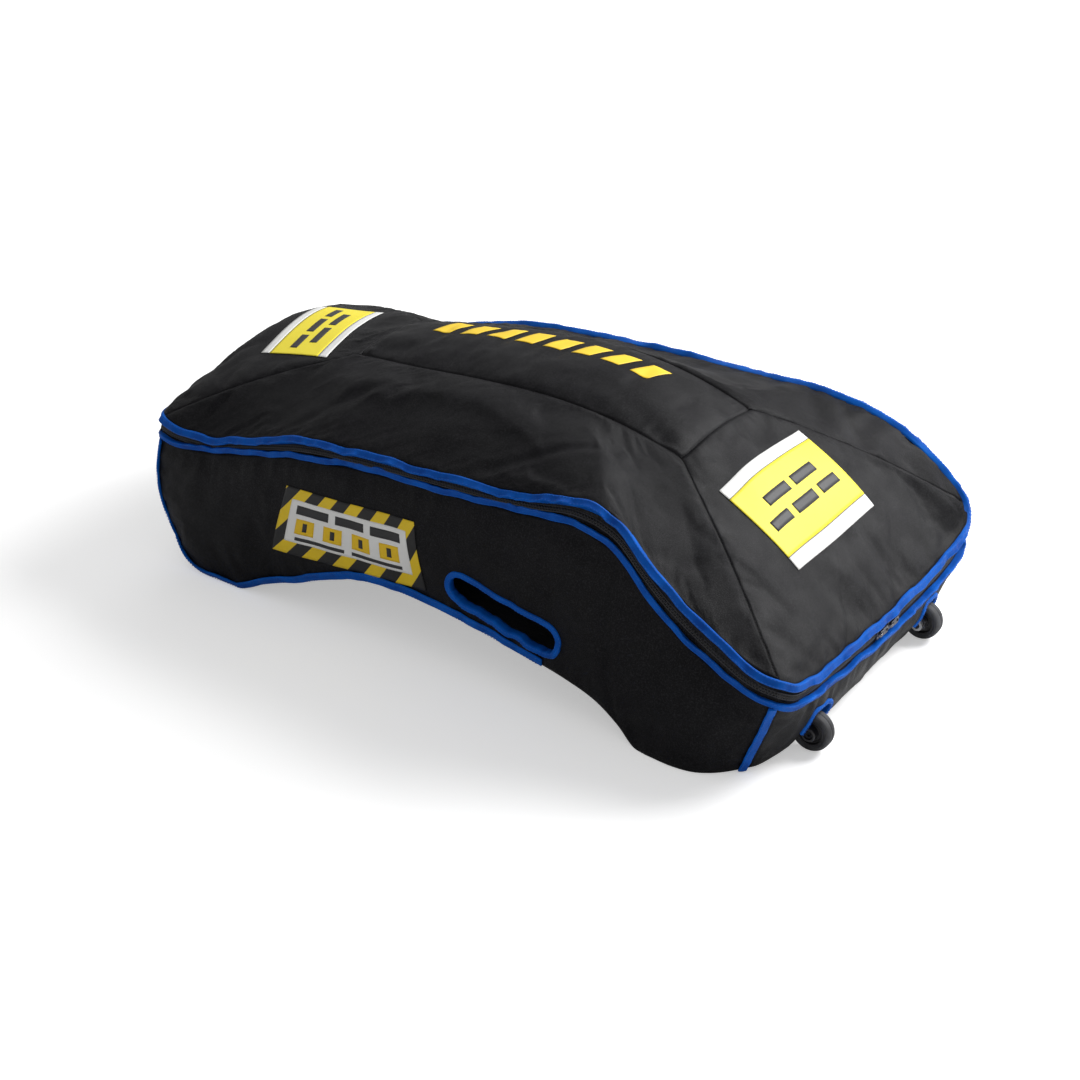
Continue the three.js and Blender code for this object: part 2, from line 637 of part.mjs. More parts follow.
const MOUNT_X = 431; // face of the stiffening board's upright that the brackets are screwed to
const MOUNT_LOW = 13;
const MOUNT_HIGH = 60;
const FLANGE = 32; // width of the bracket's flange, from its arm towards the middle of the case
const FLANGE_THICK = 3;
const SCREW_Z = [22, 50];
const SCREW_IN = 20; // from the arm to the screws
const SCREW_R = 2.5;

function screwHole(y, z) {
  const hole = new THREE.CylinderGeometry(SCREW_R + 0.3, SCREW_R + 0.3, 30, 12);
  return toManifold(hole.rotateZ(Math.PI / 2).translate(MOUNT_X, y, z));
}

// A flange screwed to the board and an arm beside the wheel that carries the axle.
function bracketGeometry(side) {
  const outerFace = side * (WHEEL_Y - ARM_NEAR);
  const innerFace = side * (WHEEL_Y - ARM_NEAR - ARM_THICK);
  const [arm0, arm1] = [Math.min(outerFace, innerFace), Math.max(outerFace, innerFace)];
  const flangeEnd = innerFace - side * FLANGE;
  const [y0, y1] = [Math.min(flangeEnd, outerFace), Math.max(flangeEnd, outerFace)];
  const arm = polygon([
    [MOUNT_X, MOUNT_LOW], [WHEEL_X, WHEEL_Z - 11], [WHEEL_X + 9, WHEEL_Z - 6], [WHEEL_X + 9, WHEEL_Z + 6],
    [WHEEL_X, WHEEL_Z + 11], [MOUNT_X, MOUNT_HIGH],
  ]);
  const bore = new THREE.CylinderGeometry(AXLE_R + 0.3, AXLE_R + 0.3, 20, 24);
  let bracket = toManifold(prismAlongY(arm, arm0, arm1));
  bracket = bracket.add(box(MOUNT_X, MOUNT_X + FLANGE_THICK, y0, y1, MOUNT_LOW, MOUNT_HIGH));
  bracket = bracket.subtract(toManifold(bore.translate(WHEEL_X, (arm0 + arm1) / 2, WHEEL_Z)));
  for (const z of SCREW_Z) {
    bracket = bracket.subtract(screwHole(innerFace - side * SCREW_IN, z));
  }
  return fromManifold(bracket);
}

function screwGeometry() {
  const profile = [[0, -8], [SCREW_R, -8], [SCREW_R, 3.4], [5, 3.4], [4.4, 5.4], [2.5, 6.4], [0, 6.6]];
  return turned(profile, 12).rotateZ(-Math.PI / 2);
}

function addWheels() {
  for (const [side, sign] of [["right", -1], ["left", 1]]) {
    const axle = new THREE.Group();
    axle.position.set(WHEEL_X, sign * WHEEL_Y, WHEEL_Z);
    axle.rotation.x = sign < 0 ? 0 : Math.PI;
    travelCase.add(axle);
    const pieces = [
      ["wheel_tyre", tyreGeometry(), RUBBER], ["wheel_hub", hubGeometry(), PLASTIC],
      ["wheel_bush", bushGeometry(), PLASTIC], ["axle_bolt", axleGeometry(), STEEL],
    ];
    for (const [name, geometry, material] of pieces) {
      const mesh = new THREE.Mesh(geometry, material);
      mesh.name = `${name}_${side}`;
      axle.add(mesh);
    }
    const nut = new THREE.Mesh(nutGeometry(), STEEL);
    nut.name = `axle_nut_${side}`;
    nut.position.y = NUT_NEAR;
    axle.add(nut);
    add(`wheel_bracket_${side}`, bracketGeometry(sign), PLASTIC);
    const screwY = sign * (WHEEL_Y - ARM_NEAR - ARM_THICK - SCREW_IN);
    for (const [name, z] of [["lower", SCREW_Z[0]], ["upper", SCREW_Z[1]]]) {
      const screw = add(`bracket_screw_${name}_${side}`, screwGeometry(), STEEL);
      screw.position.set(MOUNT_X, screwY, z);
    }
  }
}

// ---------- stiffening boards and handle ----------
const BOARD_THICK = 3;
const BOARD_LOW = 8.8; // the boards rest on the base panel's padding
const WHEEL_BOARD = { x: 308, halfWidth: 190, top: 66 };
const FAR_BOARD = { x: -359, length: 34, width: 400, z: 10.4 };

// An L-shaped board in the wheel-end foot, its upright drilled for the bracket screws.
// A flat board lies in the far foot.
function addBoards() {
  const face = MOUNT_X - 0.4;
  const inner = face - BOARD_THICK;
  const upper = BOARD_LOW + BOARD_THICK;
  const section = polygon([
    [WHEEL_BOARD.x, BOARD_LOW], [face, BOARD_LOW], [face, WHEEL_BOARD.top], [inner, WHEEL_BOARD.top],
    [inner, upper], [WHEEL_BOARD.x, upper],
  ]);
  let board = toManifold(prismAlongY(section, -WHEEL_BOARD.halfWidth, WHEEL_BOARD.halfWidth));
  for (const sign of [-1, 1]) {
    const screwY = sign * (WHEEL_Y - ARM_NEAR - ARM_THICK - SCREW_IN);
    for (const z of SCREW_Z) {
      board = board.subtract(screwHole(screwY, z));
    }
  }
  add("wheel_end_board", fromManifold(board), BOARD);
  const flat = new THREE.BoxGeometry(FAR_BOARD.length, FAR_BOARD.width, BOARD_THICK);
  add("far_end_board", flat.translate(FAR_BOARD.x, 0, FAR_BOARD.z), BOARD);
}

// A strap sewn to the far end at both ends, standing off it in between.
function addHandle() {
  const path = (t) => {
    const y = (2 * t - 1) * HANDLE.reach;
    const p = tubSurface.far(0.5 + y / (2 * FAR_HALF_WIDTH), 0.48);
    const lift = Math.cos((Math.PI / 2) * (2 * t - 1)) ** 0.5;
    p.z = HANDLE.z;
    p.x -= 1;
    p.x += (HANDLE.thick - HALF_LENGTH - p.x) * lift;
    return p;
  };
  const backwards = () => new THREE.Vector3(-1, 0, 0);
  const shape = { width: HANDLE.width, low: 0, high: HANDLE.thick, steps: 16, out: backwards };
  add("grab_handle", strap(path, shape), WEBBING);
}

addLidPanels();
addTubWalls();
addBase();
addBindings();
addZip();
addPatches();
addSliders();
addWheels();
addBoards();
addHandle();

export default travelCase;
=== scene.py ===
# The looks of a padded wheeled travel case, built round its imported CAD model.
# Metres. +X is the wheel end, -Y is the case's right side, +Z is up and z = 0 is the floor.
import math

import bmesh
import bpy
import numpy as np
from mathutils import Matrix, Vector
from mathutils.bvhtree import BVHTree


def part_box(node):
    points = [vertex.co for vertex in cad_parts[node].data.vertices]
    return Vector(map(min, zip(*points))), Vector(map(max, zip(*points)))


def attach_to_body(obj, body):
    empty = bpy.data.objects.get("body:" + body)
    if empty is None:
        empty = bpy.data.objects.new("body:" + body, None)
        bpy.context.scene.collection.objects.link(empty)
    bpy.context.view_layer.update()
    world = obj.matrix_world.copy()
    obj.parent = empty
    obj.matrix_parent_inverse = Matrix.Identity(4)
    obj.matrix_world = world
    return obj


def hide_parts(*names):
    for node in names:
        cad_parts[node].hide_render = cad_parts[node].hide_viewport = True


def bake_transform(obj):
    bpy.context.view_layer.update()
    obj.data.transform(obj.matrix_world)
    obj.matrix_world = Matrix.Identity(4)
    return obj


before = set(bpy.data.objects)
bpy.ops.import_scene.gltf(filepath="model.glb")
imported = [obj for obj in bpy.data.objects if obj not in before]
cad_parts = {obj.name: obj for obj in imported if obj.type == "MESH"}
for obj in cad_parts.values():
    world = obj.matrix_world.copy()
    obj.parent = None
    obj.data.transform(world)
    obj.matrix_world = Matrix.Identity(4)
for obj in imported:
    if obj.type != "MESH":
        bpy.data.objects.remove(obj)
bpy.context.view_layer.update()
rng = np.random.default_rng(11)

# ---------- driving sizes ----------
MM = 0.001
PANEL = 8 * MM  # thickness of a padded panel
PROUD = 1.5 * MM  # how far the CAD bindings stand out of the panels
HALF_BINDING = 6 * MM
CELL = 4.5 * MM  # size of the fabric's mesh cells
SIDE, END, ROWS = 24, 10, 4  # how the CAD sheets are divided: along a side, along an end, and down a wall
CORE_LOW = np.array([-0.300, -0.110, 0.100])  # the CAD panels get their thickness away from this box
CORE_HIGH = np.array([0.250, 0.110, 0.180])
FAR_BULGE = 20 * MM
BASE_INSET = PANEL + 3 * MM  # the base lies between the walls
SLOT_TILT = -0.19
Z = np.array([0.0, 0.0, 1.0])
SIDES = ("right", "left")


def unit(v):
    return v / np.maximum(np.linalg.norm(v, axis=-1, keepdims=True), 1e-12)


def from_core(p):
    """The direction in which a CAD sheet is thick, at points p."""
    return unit(p - np.clip(p, CORE_LOW, CORE_HIGH))


def field(points, wavelength, count=18):
    """A smooth random field over points, mostly between -1 and 1, made of plane waves."""
    directions = unit(rng.normal(size=(count, points.shape[-1])))
    waves = 2 * np.pi / wavelength * directions * rng.uniform(0.6, 1.4, (count, 1))
    phases = rng.uniform(0, 2 * np.pi, count)
    return np.sin(points @ waves.T + phases).sum(-1) / math.sqrt(count * 1.6)


# ---------- guide lines, read from the CAD sheets ----------
def outer_loops(node, thickness):
    """The edge lines of the outer face of a CAD sheet, longest first, each a closed row of points."""
    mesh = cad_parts[node].data
    points = np.array([v.co for v in mesh.vertices])
    points, index = np.unique(np.round(points, 6), axis=0, return_inverse=True)
    index = index.ravel()
    behind = points - thickness * from_core(points)
    outer = [np.linalg.norm(points - b, axis=1).min() < 0.2 * MM for b in behind]
    edges = set()
    for polygon in mesh.polygons:
        corners = [index[i] for i in polygon.vertices]
        if all(outer[i] for i in corners):
            edges.update(zip(corners, corners[1:] + corners[:1]))
    after = {a: b for a, b in edges if (b, a) not in edges}
    loops = []
    while after:
        loop = [next(iter(sorted(after)))]
        while loop[-1] in after:
            loop.append(after.pop(loop[-1]))
        loops.append(points[loop[:-1]])
    return sorted(loops, key=len, reverse=True)


def leg(loop, start, steps, heading):
    """Part of a loop: from the point nearest start, so many steps on, in the way that heads off as asked."""
    first = int(np.linalg.norm(loop - start, axis=1).argmin())
    ahead = loop[(first + 1) % len(loop)] - loop[first]
    sign = 1 if ahead @ np.array(heading) > 0 else -1
    return loop[(first + sign * np.arange(steps + 1)) % len(loop)]


def guide(points):
    """A smooth line through points, as a function of 0 to 1 along its length."""
    knots = np.vstack([2 * points[0] - points[1], points, 2 * points[-1] - points[-2]])
    spans = len(points) - 1
    share = np.concatenate([[0], np.cumsum(np.linalg.norm(np.diff(points, axis=0), axis=1))])
    share /= share[-1]

    def at(t):
        place = np.interp(np.asarray(t, float), share, np.arange(spans + 1))
        i = np.minimum(place.astype(int), spans - 1)
        f = (place - i)[..., None]
        a, b, c, d = (knots[i + k] for k in range(4))
        square = 2 * a - 5 * b + 4 * c - d
        cube = 3 * b - a - 3 * c + d
        return 0.5 * (2 * b + (c - a) * f + square * f**2 + cube * f**3)

    return at


def farthest(loop, direction):
    return loop[(loop @ np.array(direction)).argmax()]


def ring_guides(node):
    """The four legs of a binding loop, as guides along the middle of the panels' edges."""
    loops = outer_loops(node, PANEL + 2 * PROUD)[:2]
    legs = {}
    for name, corner, steps, heading in [
        ("right", (-1, -1, 0), SIDE, (1, 0, 0)),
        ("wheel", (1, -1, 0), END, (0, 1, 0)),
        ("left", (-1, 1, 0), SIDE, (1, 0, 0)),
        ("far", (-1, -1, 0), END, (0, 1, 0)),
    ]:
        rows = [leg(loop, farthest(loop, corner), steps, heading) for loop in loops]
        middle = (rows[0] + rows[1]) / 2
        legs[name] = guide(middle - PROUD * from_core(middle))
    return legs


def mirrored(curve):
    return lambda t: curve(t) * np.array([1, -1, 1])


def shifted(curve, dz):
    return lambda t: curve(t) + dz * Z


lid_edge = ring_guides("lid_binding")
tub_edge = ring_guides("tub_binding")


def seam_guides():
    """The seams round the lid's top panel."""
    top = outer_loops("lid_top_panel", PANEL)[0]
    right = leg(top, farthest(top, (-1, -1, 0)), SIDE, (1, 0, 0))
    left = leg(top, farthest(top, (-1, 1, 0)), SIDE, (1, 0, 0))
    ends = {}
    for end, row in [("wheel", -1), ("far", 0)]:
        loop = outer_loops(f"lid_{end}_end_panel", PANEL)[0]
        across = leg(loop, right[row], END, (0, 1, 0))
        across[0], across[-1] = right[row], left[row]
        ends[end] = guide(across)
    return {"right": guide(right), "left": guide(left), **ends}


def foot_guides():
    """The lower edges of the tub's walls: their corners, and between them the edge of the base."""
    wall = outer_loops("tub_right_panel", PANEL)[0]
    tops = [tub_edge["right"](end) - HALF_BINDING * Z for end in (0.0, 1.0)]
    corners = [leg(wall, top, ROWS, (0, 0, -1))[-1] for top in tops]
    base = np.array([v.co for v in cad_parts["tub_base_panel"].data.vertices])
    columns = []
    for x in np.unique(np.round(base[:, 0], 5)):
        column = base[np.abs(base[:, 0] - x) < 2e-5]
        columns.append([x, column[:, 1].min() - BASE_INSET, column[:, 2].min()])
    right = guide(np.vstack([corners[:1], columns, corners[1:]]))
    far = leg(outer_loops("tub_far_end_panel", PANEL)[0], corners[0], END, (0, 1, 0))
    front = [v.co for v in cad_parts["tub_wheel_end_panel"].data.vertices]
    middle = min((p for p in front if abs(p[1]) < 60 * MM), key=lambda p: p[2])
    t = np.linspace(0, 1, 4 * END + 1)
    blunt = (1 - np.abs(2 * t - 1) ** 7)[:, None]
    wheel = corners[1] * (1 - blunt) + np.array([middle[0], 0, middle[2]]) * blunt
    wheel[:, 1] = corners[1][1] * (1 - 2 * t)
    return {"right": right, "left": mirrored(right), "wheel": guide(wheel), "far": guide(far)}


seam = seam_guides()
foot = foot_guides()


# ---------- surfaces ----------
def stretched(top, bottom, puff, bow=0.0, peak=0.5, dome=0.0):
    """A panel between two guides, puffed out by its padding, as a function of u along it and v down it."""

    def at(u, v):
        along = (1 - (2 * u - 1) ** 6)[..., None]
        down = np.sin(np.pi * v ** (math.log(0.5) / math.log(peak)))[..., None]
        w = v[..., None]
        p = top(u) * (1 - w) + bottom(u) * w
        p = p + Z * bow * np.sin(np.pi * w)
        p = p + Z * dome * np.sin(np.pi * u[..., None] ** 1.2) * w**2 * np.sqrt(1 - w**14)
        return p + np.array(puff) * along * down

    return at


def bulged(surface, reach=None):
    """The tub's far end bulges out and takes the ends of the side walls with it."""

    def at(u, v):
        p = surface(u, v)
        share = np.exp(-((u / reach) ** 1.5)) if reach else 1.0
        p[..., 0] -= FAR_BULGE * np.sin(np.pi * v) * share
        return p

    return at


def crowned(u, v):
    """The lid's top panel, stretched between its four seams."""
    w, s = v[..., None], u[..., None]
    sides = seam["right"](u) * (1 - w) + seam["left"](u) * w
    ends = seam["far"](v) * (1 - s) + seam["wheel"](v) * s
    corners = (seam["right"](0 * u) * (1 - s) + seam["right"](0 * u + 1) * s) * (1 - w)
    corners = corners + (seam["left"](0 * u) * (1 - s) + seam["left"](0 * u + 1) * s) * w
    along = (1 - (2 * u - 1) ** 6)[..., None]
    return sides + ends - corners + 6 * MM * Z * along * np.sin(np.pi * w)


HIP_BOW = 10 * MM
TAPE_SHARE = {"lid": 0.78, "tub": 0.66}  # how much of the binding's width its tape covers, from the zip side
TAPE_EDGE = {body: (12.3 * share - 6.3) * MM for body, share in TAPE_SHARE.items()}
TUCK = 1.2 * MM  # how far a panel runs in under the tape
lid_low = {name: shifted(curve, TAPE_EDGE["lid"] - TUCK) for name, curve in lid_edge.items()}
tub_high = {name: shifted(curve, TUCK - TAPE_EDGE["tub"]) for name, curve in tub_edge.items()}


def sunk(curve, depth):
    """The same guide, lowered by a depth except at its two ends."""
    return lambda t: curve(t) - depth * Z * (1 - (2 * np.asarray(t, float)[..., None] - 1) ** 8)


surfaces = {
    "lid_top_panel": crowned,
    "lid_right_panel": stretched(seam["right"], lid_low["right"], (0, -6 * MM, 0), HIP_BOW),
    "lid_left_panel": stretched(seam["left"], sunk(lid_low["left"], 6 * MM), (0, -3 * MM, -13 * MM), HIP_BOW),
    "lid_wheel_end_panel": stretched(seam["wheel"], lid_low["wheel"], (6 * MM, 0, 2 * MM), HIP_BOW),
    "lid_far_end_panel": stretched(
        seam["far"], lid_low["far"], (-6 * MM, 0, 0), HIP_BOW, peak=0.75, dome=60 * MM
    ),
    "tub_right_panel": bulged(stretched(tub_high["right"], foot["right"], (0, -9 * MM, 0), peak=0.6), 0.06),
    "tub_left_panel": bulged(stretched(tub_high["left"], foot["left"], (0, 9 * MM, 0), peak=0.6), 0.06),
    "tub_wheel_end_panel": stretched(tub_high["wheel"], foot["wheel"], (4 * MM, 0, 0)),
    "tub_far_end_panel": bulged(stretched(tub_high["far"], foot["far"], (5 * MM, 0, -2 * MM))),
}


# ---------- meshes ----------
def show(name, data):
    """Puts a mesh, curve, lamp or camera in the scene."""
    made = bpy.data.objects.new(name, data)
    bpy.context.scene.collection.objects.link(made)
    return made


def evaluated(thing):
    return thing.evaluated_get(bpy.context.evaluated_depsgraph_get())


def attach(piece, body, slot, replaces):
    """Makes a piece ride on a body and lets it stand for CAD nodes. slot is not used."""
    if body:
        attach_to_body(piece, body)
    if replaces:
        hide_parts(*replaces)


def publish(name, vertices, faces, body, materials, slot, uv=None, skins=None, replaces=()):
    """Makes a mesh piece that rides on a body and stands for the CAD nodes it replaces."""
    mesh = bpy.data.meshes.new(name)
    mesh.from_pydata(np.asarray(vertices).tolist(), [], [list(map(int, f)) for f in faces])
    for material in materials:
        mesh.materials.append(material)
    if skins is not None:
        mesh.polygons.foreach_set("material_index", np.asarray(skins, np.int32))
    mesh.polygons.foreach_set("use_smooth", [True] * len(mesh.polygons))
    if uv is not None:
        corners = np.zeros(len(mesh.loops), np.int32)
        mesh.loops.foreach_get("vertex_index", corners)
        layer = mesh.uv_layers.new(name="UVMap")
        layer.data.foreach_set("uv", np.asarray(uv, np.float32)[corners].ravel())
    mesh.update()
    made = show(name, mesh)
    attach(made, body, slot, replaces)
    return made


def quads(columns, rows, offset=0):
    """Faces over a grid of points that is stored column by column."""
    i, j = np.meshgrid(np.arange(columns - 1), np.arange(rows - 1), indexing="ij")
    a = (i * rows + j).ravel() + offset
    return np.stack([a, a + rows, a + rows + 1, a + 1], axis=-1)


def shell_mesh(outer, inner):
    """A closed sheet between two grids of points. Returns vertices, faces, which face is inner, and uv."""
    columns, rows = outer.shape[:2]
    layer = columns * rows
    vertices = np.concatenate([outer.reshape(-1, 3), inner.reshape(-1, 3)])
    front = quads(columns, rows)
    back = quads(columns, rows, layer)[:, ::-1]
    rim = [j for j in range(rows - 1)] + [i * rows + rows - 1 for i in range(columns - 1)]
    rim += [layer - 1 - j for j in range(rows - 1)] + [(columns - 1 - i) * rows for i in range(columns - 1)]
    ring = np.array(rim)
    turn = np.roll(ring, -1)
    sides = np.stack([ring, turn, turn + layer, ring + layer], axis=-1)
    faces = np.concatenate([front, back, sides])
    inside = np.concatenate([np.zeros(len(front)), np.ones(len(back)), np.zeros(len(sides))])
    along = lengths(outer, 0)
    down = lengths(outer, 1)
    uv = np.stack([along, down], axis=-1).reshape(-1, 2)
    middle = vertices.mean(0)
    p = vertices[faces]
    signed = np.einsum("ij,ij->i", np.cross(p[:, 1] - middle, p[:, 2] - middle), p[:, 0] - middle)
    signed = signed + np.einsum("ij,ij->i", np.cross(p[:, 2] - middle, p[:, 3] - middle), p[:, 0] - middle)
    if signed.sum() < 0:
        faces = faces[:, ::-1]
    return vertices, faces, inside, np.concatenate([uv, uv])


def lengths(grid, axis):
    """Distance run along one way of a grid, from its first row or column."""
    steps = np.linalg.norm(np.diff(grid, axis=axis), axis=-1)
    start = np.zeros_like(steps.take([0], axis))
    return np.concatenate([start, np.cumsum(steps, axis)], axis)


# ---------- cloth ----------
CLOTH_FRAMES = 20
CLOTH_LIMIT = 3.6 * MM


def as_cloth(grids):
    """Lets the covers fill out as cloth: held at their seams, cut a little large, pushed by padding."""
    vertices = np.concatenate([g.reshape(-1, 3) for g in grids])
    faces, held, offset = [], [], 0
    for g in grids:
        columns, rows = g.shape[:2]
        face = quads(columns, rows, offset)
        if (np.cross(g[1, 0] - g[0, 0], g[0, 1] - g[0, 0]) @ from_core(g[0, 0])) < 0:
            face = face[:, ::-1]
        faces.append(face)
        i, j = np.meshgrid(np.arange(columns), np.arange(rows), indexing="ij")
        rim = (i < 2) | (j < 2) | (i > columns - 3) | (j > rows - 3)
        held.append(np.flatnonzero(rim.ravel()) + offset)
        offset += columns * rows
    mesh = bpy.data.meshes.new("cover_study")
    mesh.from_pydata(vertices.tolist(), [], np.concatenate(faces).tolist())
    study = show("cover_study", mesh)
    group = study.vertex_groups.new(name="held")
    group.add(np.concatenate(held).tolist(), 1.0, "REPLACE")
    cloth = study.modifiers.new("Cloth", "CLOTH")
    settings = cloth.settings
    settings.quality = 5
    settings.mass = 0.4
    settings.tension_stiffness = settings.compression_stiffness = 25
    settings.shear_stiffness = 12
    settings.bending_stiffness = 1.2
    settings.shrink_min = -0.009
    settings.use_pressure = True
    settings.uniform_pressure_force = 1.2
    settings.vertex_group_mass = "held"
    settings.effector_weights.gravity = 0
    cloth.collision_settings.use_collision = False
    cloth.point_cache.frame_start = 1
    cloth.point_cache.frame_end = CLOTH_FRAMES
    scene = bpy.context.scene
    for step in range(1, CLOTH_FRAMES + 1):
        scene.frame_set(step)
    settled = evaluated(study).data
    moved = np.zeros(len(vertices) * 3, np.float32)
    settled.vertices.foreach_get("co", moved)
    shift = moved.reshape(-1, 3) - vertices
    size = np.linalg.norm(shift, axis=1, keepdims=True)
    shift = shift * CLOTH_LIMIT * np.tanh(size / CLOTH_LIMIT) / np.maximum(size, 1e-9)
    bpy.data.objects.remove(study)
    bpy.data.meshes.remove(mesh)
    scene.frame_set(1)
    draped, offset = [], 0
    for g in grids:
        count = g.shape[0] * g.shape[1]
        draped.append(g + shift[offset:offset + count].reshape(g.shape))
        offset += count
    return draped


# ---------- materials ----------
def linear(r, g, b):
    """A screen colour of 0 to 255 as light values."""
    return tuple((c / 255) ** 2.2 for c in (r, g, b)) + (1.0,)


def feed(tree, node, **inputs):
    """Sets a node's inputs, each a value or another node's output. i0 is its first input, i1 its second."""
    for key, value in inputs.items():
        numbered = key[0] == "i" and key[1:].isdigit()
        socket = node.inputs[int(key[1:]) if numbered else key.replace("_", " ")]
        if isinstance(value, bpy.types.NodeSocket):
            tree.links.new(value, socket)
        else:
            socket.default_value = value


def add(tree, kind, settings=None, **inputs):
    """A shader node. Returns its first output."""
    made = tree.nodes.new("ShaderNode" + kind)
    for key, value in (settings or {}).items():
        setattr(made, key, value)
    feed(tree, made, **inputs)
    return made.outputs[0]


def maths(tree, operation, a, b=0.0):
    return add(tree, "Math", {"operation": operation}, i0=a, i1=b)


def times(tree, a, b):
    return maths(tree, "MULTIPLY", a, b)


def grey(value):
    return (value,) * 3 + (1,)


def new_material(name):
    material = bpy.data.materials.new(name)
    material.use_nodes = True
    tree = material.node_tree
    return material, tree, tree.nodes["Principled BSDF"]


def place(tree, kind="Object"):
    return tree.nodes.new("ShaderNodeTexCoord").outputs[kind]


def pointed(tree, low, high):
    """High on proud edges, low in hollows and on flats."""
    return ramp(tree, tree.nodes.new("ShaderNodeNewGeometry").outputs["Pointiness"], low, high)


def grain(tree, scale, detail=2.0, roughness=0.5):
    return add(tree, "TexNoise", Vector=place(tree), Scale=scale, Detail=detail, Roughness=roughness)


def ramp(tree, value, low, high, start=(0, 0, 0, 1), end=(1, 1, 1, 1)):
    node = tree.nodes.new("ShaderNodeValToRGB")
    tree.links.new(value, node.inputs[0])
    first, last = node.color_ramp.elements
    first.position, first.color = low, start
    last.position, last.color = high, end
    return node.outputs[0]


def mix(tree, share, a, b):
    return add(tree, "MixRGB", Fac=share, Color1=a, Color2=b)


def across_cloth(tree):
    """The place on a piece of cloth, along it and across it, in metres."""
    return add(tree, "SeparateXYZ", Vector=place(tree, "UV")).node.outputs


def wave(tree, value, pitch):
    """A ripple with the given pitch."""
    return maths(tree, "SINE", times(tree, value, 2 * math.pi / pitch))


def weaving(tree, pitch):
    """Ripples both ways of the cloth."""
    along, across = across_cloth(tree)[:2]
    return times(tree, wave(tree, along, pitch), wave(tree, across, pitch))


def bump(tree, height, distance, strength=1.0, below=None):
    inputs = {"Height": height, "Distance": distance, "Strength": strength}
    if below is not None:
        inputs["Normal"] = below
    return add(tree, "Bump", **inputs)


def woven(name, dark, light, thread, sheen=0.1, roughness=0.6, speckle=0.2, relief=0.25 * MM, shine=0.15):
    """Woven cloth: threads two ways, speckled colour, soft creases and a fibre sheen."""
    material, tree, shader = new_material(name)
    threads = maths(tree, "ADD", times(tree, weaving(tree, thread), 0.5), 0.5)
    mottle = ramp(tree, grain(tree, 9.0, 4.0), 0.35, 0.7)
    fleck = ramp(tree, grain(tree, 620.0, 1.0), 0.45, 0.75)
    flecked = mix(tree, times(tree, fleck, speckle), mix(tree, mottle, dark, light), linear(110, 108, 114))
    worn = mix(tree, times(tree, threads, 0.25), flecked, dark)
    crease = bump(tree, grain(tree, 70.0, 5.0, roughness=0.6), 0.6 * MM, 0.5)
    surface = bump(tree, threads, relief, 0.6, crease)
    rough = ramp(tree, grain(tree, 25.0, 3.0), 0.3, 0.7, grey(roughness - 0.08), grey(roughness + 0.08))
    feed(tree, shader, Base_Color=worn, Roughness=rough, Normal=surface, Sheen_Weight=sheen,
         Sheen_Roughness=0.45, Specular_IOR_Level=shine)
    return material


def grosgrain(name):
    """Ribbed binding tape: ribs across it, painted shade in the hollows between the ribs, and a painted
    highlight on its proud edges.
    """
    material, tree, shader = new_material(name)
    ribs = maths(tree, "ADD", times(tree, wave(tree, across_cloth(tree)[0], 1.1 * MM), 0.5), 0.5)
    shade = ramp(tree, grain(tree, 38.0, 4.0), 0.3, 0.72, linear(0, 70, 158), linear(0, 102, 206))
    # painted shade: the hollows between the ribs are darkened
    painted_rib_shade = times(tree, maths(tree, "SUBTRACT", 1.0, ribs), 0.35)
    ribbed = mix(tree, painted_rib_shade, shade, linear(0, 34, 104))
    # painted highlight: the proud edges are lightened towards a bright blue
    painted_edge_highlight = mix(tree, times(tree, pointed(tree, 0.5, 0.56), 0.35), ribbed, linear(14, 116, 226))
    surface = bump(tree, ribs, 0.3 * MM, 0.8, bump(tree, grain(tree, 160.0, 3.0), 0.5 * MM, 0.4))
    feed(tree, shader, Base_Color=painted_edge_highlight, Roughness=0.5, Normal=surface, Specular_IOR_Level=0.12)
    return material


def moulded(name, dark, light, roughness, metal=0.0, edge_light=0.25, scale=180.0, relief=0.08 * MM):
    """Moulded plastic, rubber, card or metal: fine grain, scuffs, and proud edges lighter, partly rubbed wear
    and partly a painted highlight.
    """
    material, tree, shader = new_material(name)
    scuff = grain(tree, scale * 0.35, 6.0, roughness=0.7)
    base = mix(tree, ramp(tree, scuff, 0.4, 0.75), dark, light)
    bright = tuple(min(1, 3 * c) for c in light[:3]) + (1,)
    # proud edges lightened: rubbed wear, and a painted highlight where light catches them
    rubbed_and_highlit = mix(tree, times(tree, pointed(tree, 0.51, 0.58), edge_light), base, bright)
    rough = ramp(tree, scuff, 0.3, 0.8, grey(roughness - 0.1), grey(min(1, roughness + 0.12)))
    surface = bump(tree, grain(tree, scale * 4, 2.0), relief, 0.5)
    feed(tree, shader, Base_Color=rubbed_and_highlit, Roughness=rough, Metallic=metal, Normal=surface)
    return material


def printed(name, colour, dirt):
    """Ink on a thin cloth patch."""
    material, tree, shader = new_material(name)
    worn = ramp(tree, grain(tree, 30.0, 5.0), 0.4, 0.8)
    shade = mix(tree, times(tree, worn, 0.25), colour, dirt)
    weave = bump(tree, weaving(tree, 0.9 * MM), 0.1 * MM, 0.3)
    feed(tree, shader, Base_Color=shade, Roughness=0.55, Normal=weave)
    return material


STRIPE_PITCH = 50 * MM


def hazard_stripes(name):
    """Slanted yellow and black stripes, for the border of the side label."""
    material, tree, shader = new_material(name)
    along, across = across_cloth(tree)[:2]
    slanted = maths(tree, "ADD", along, times(tree, across, -0.75))
    edge = ramp(tree, wave(tree, slanted, STRIPE_PITCH), 0.0, 0.06, linear(20, 20, 22), linear(242, 205, 20))
    shade = mix(tree, times(tree, grain(tree, 40.0, 4.0), 0.15), edge, linear(40, 38, 34))
    feed(tree, shader, Base_Color=shade, Roughness=0.5)
    return material


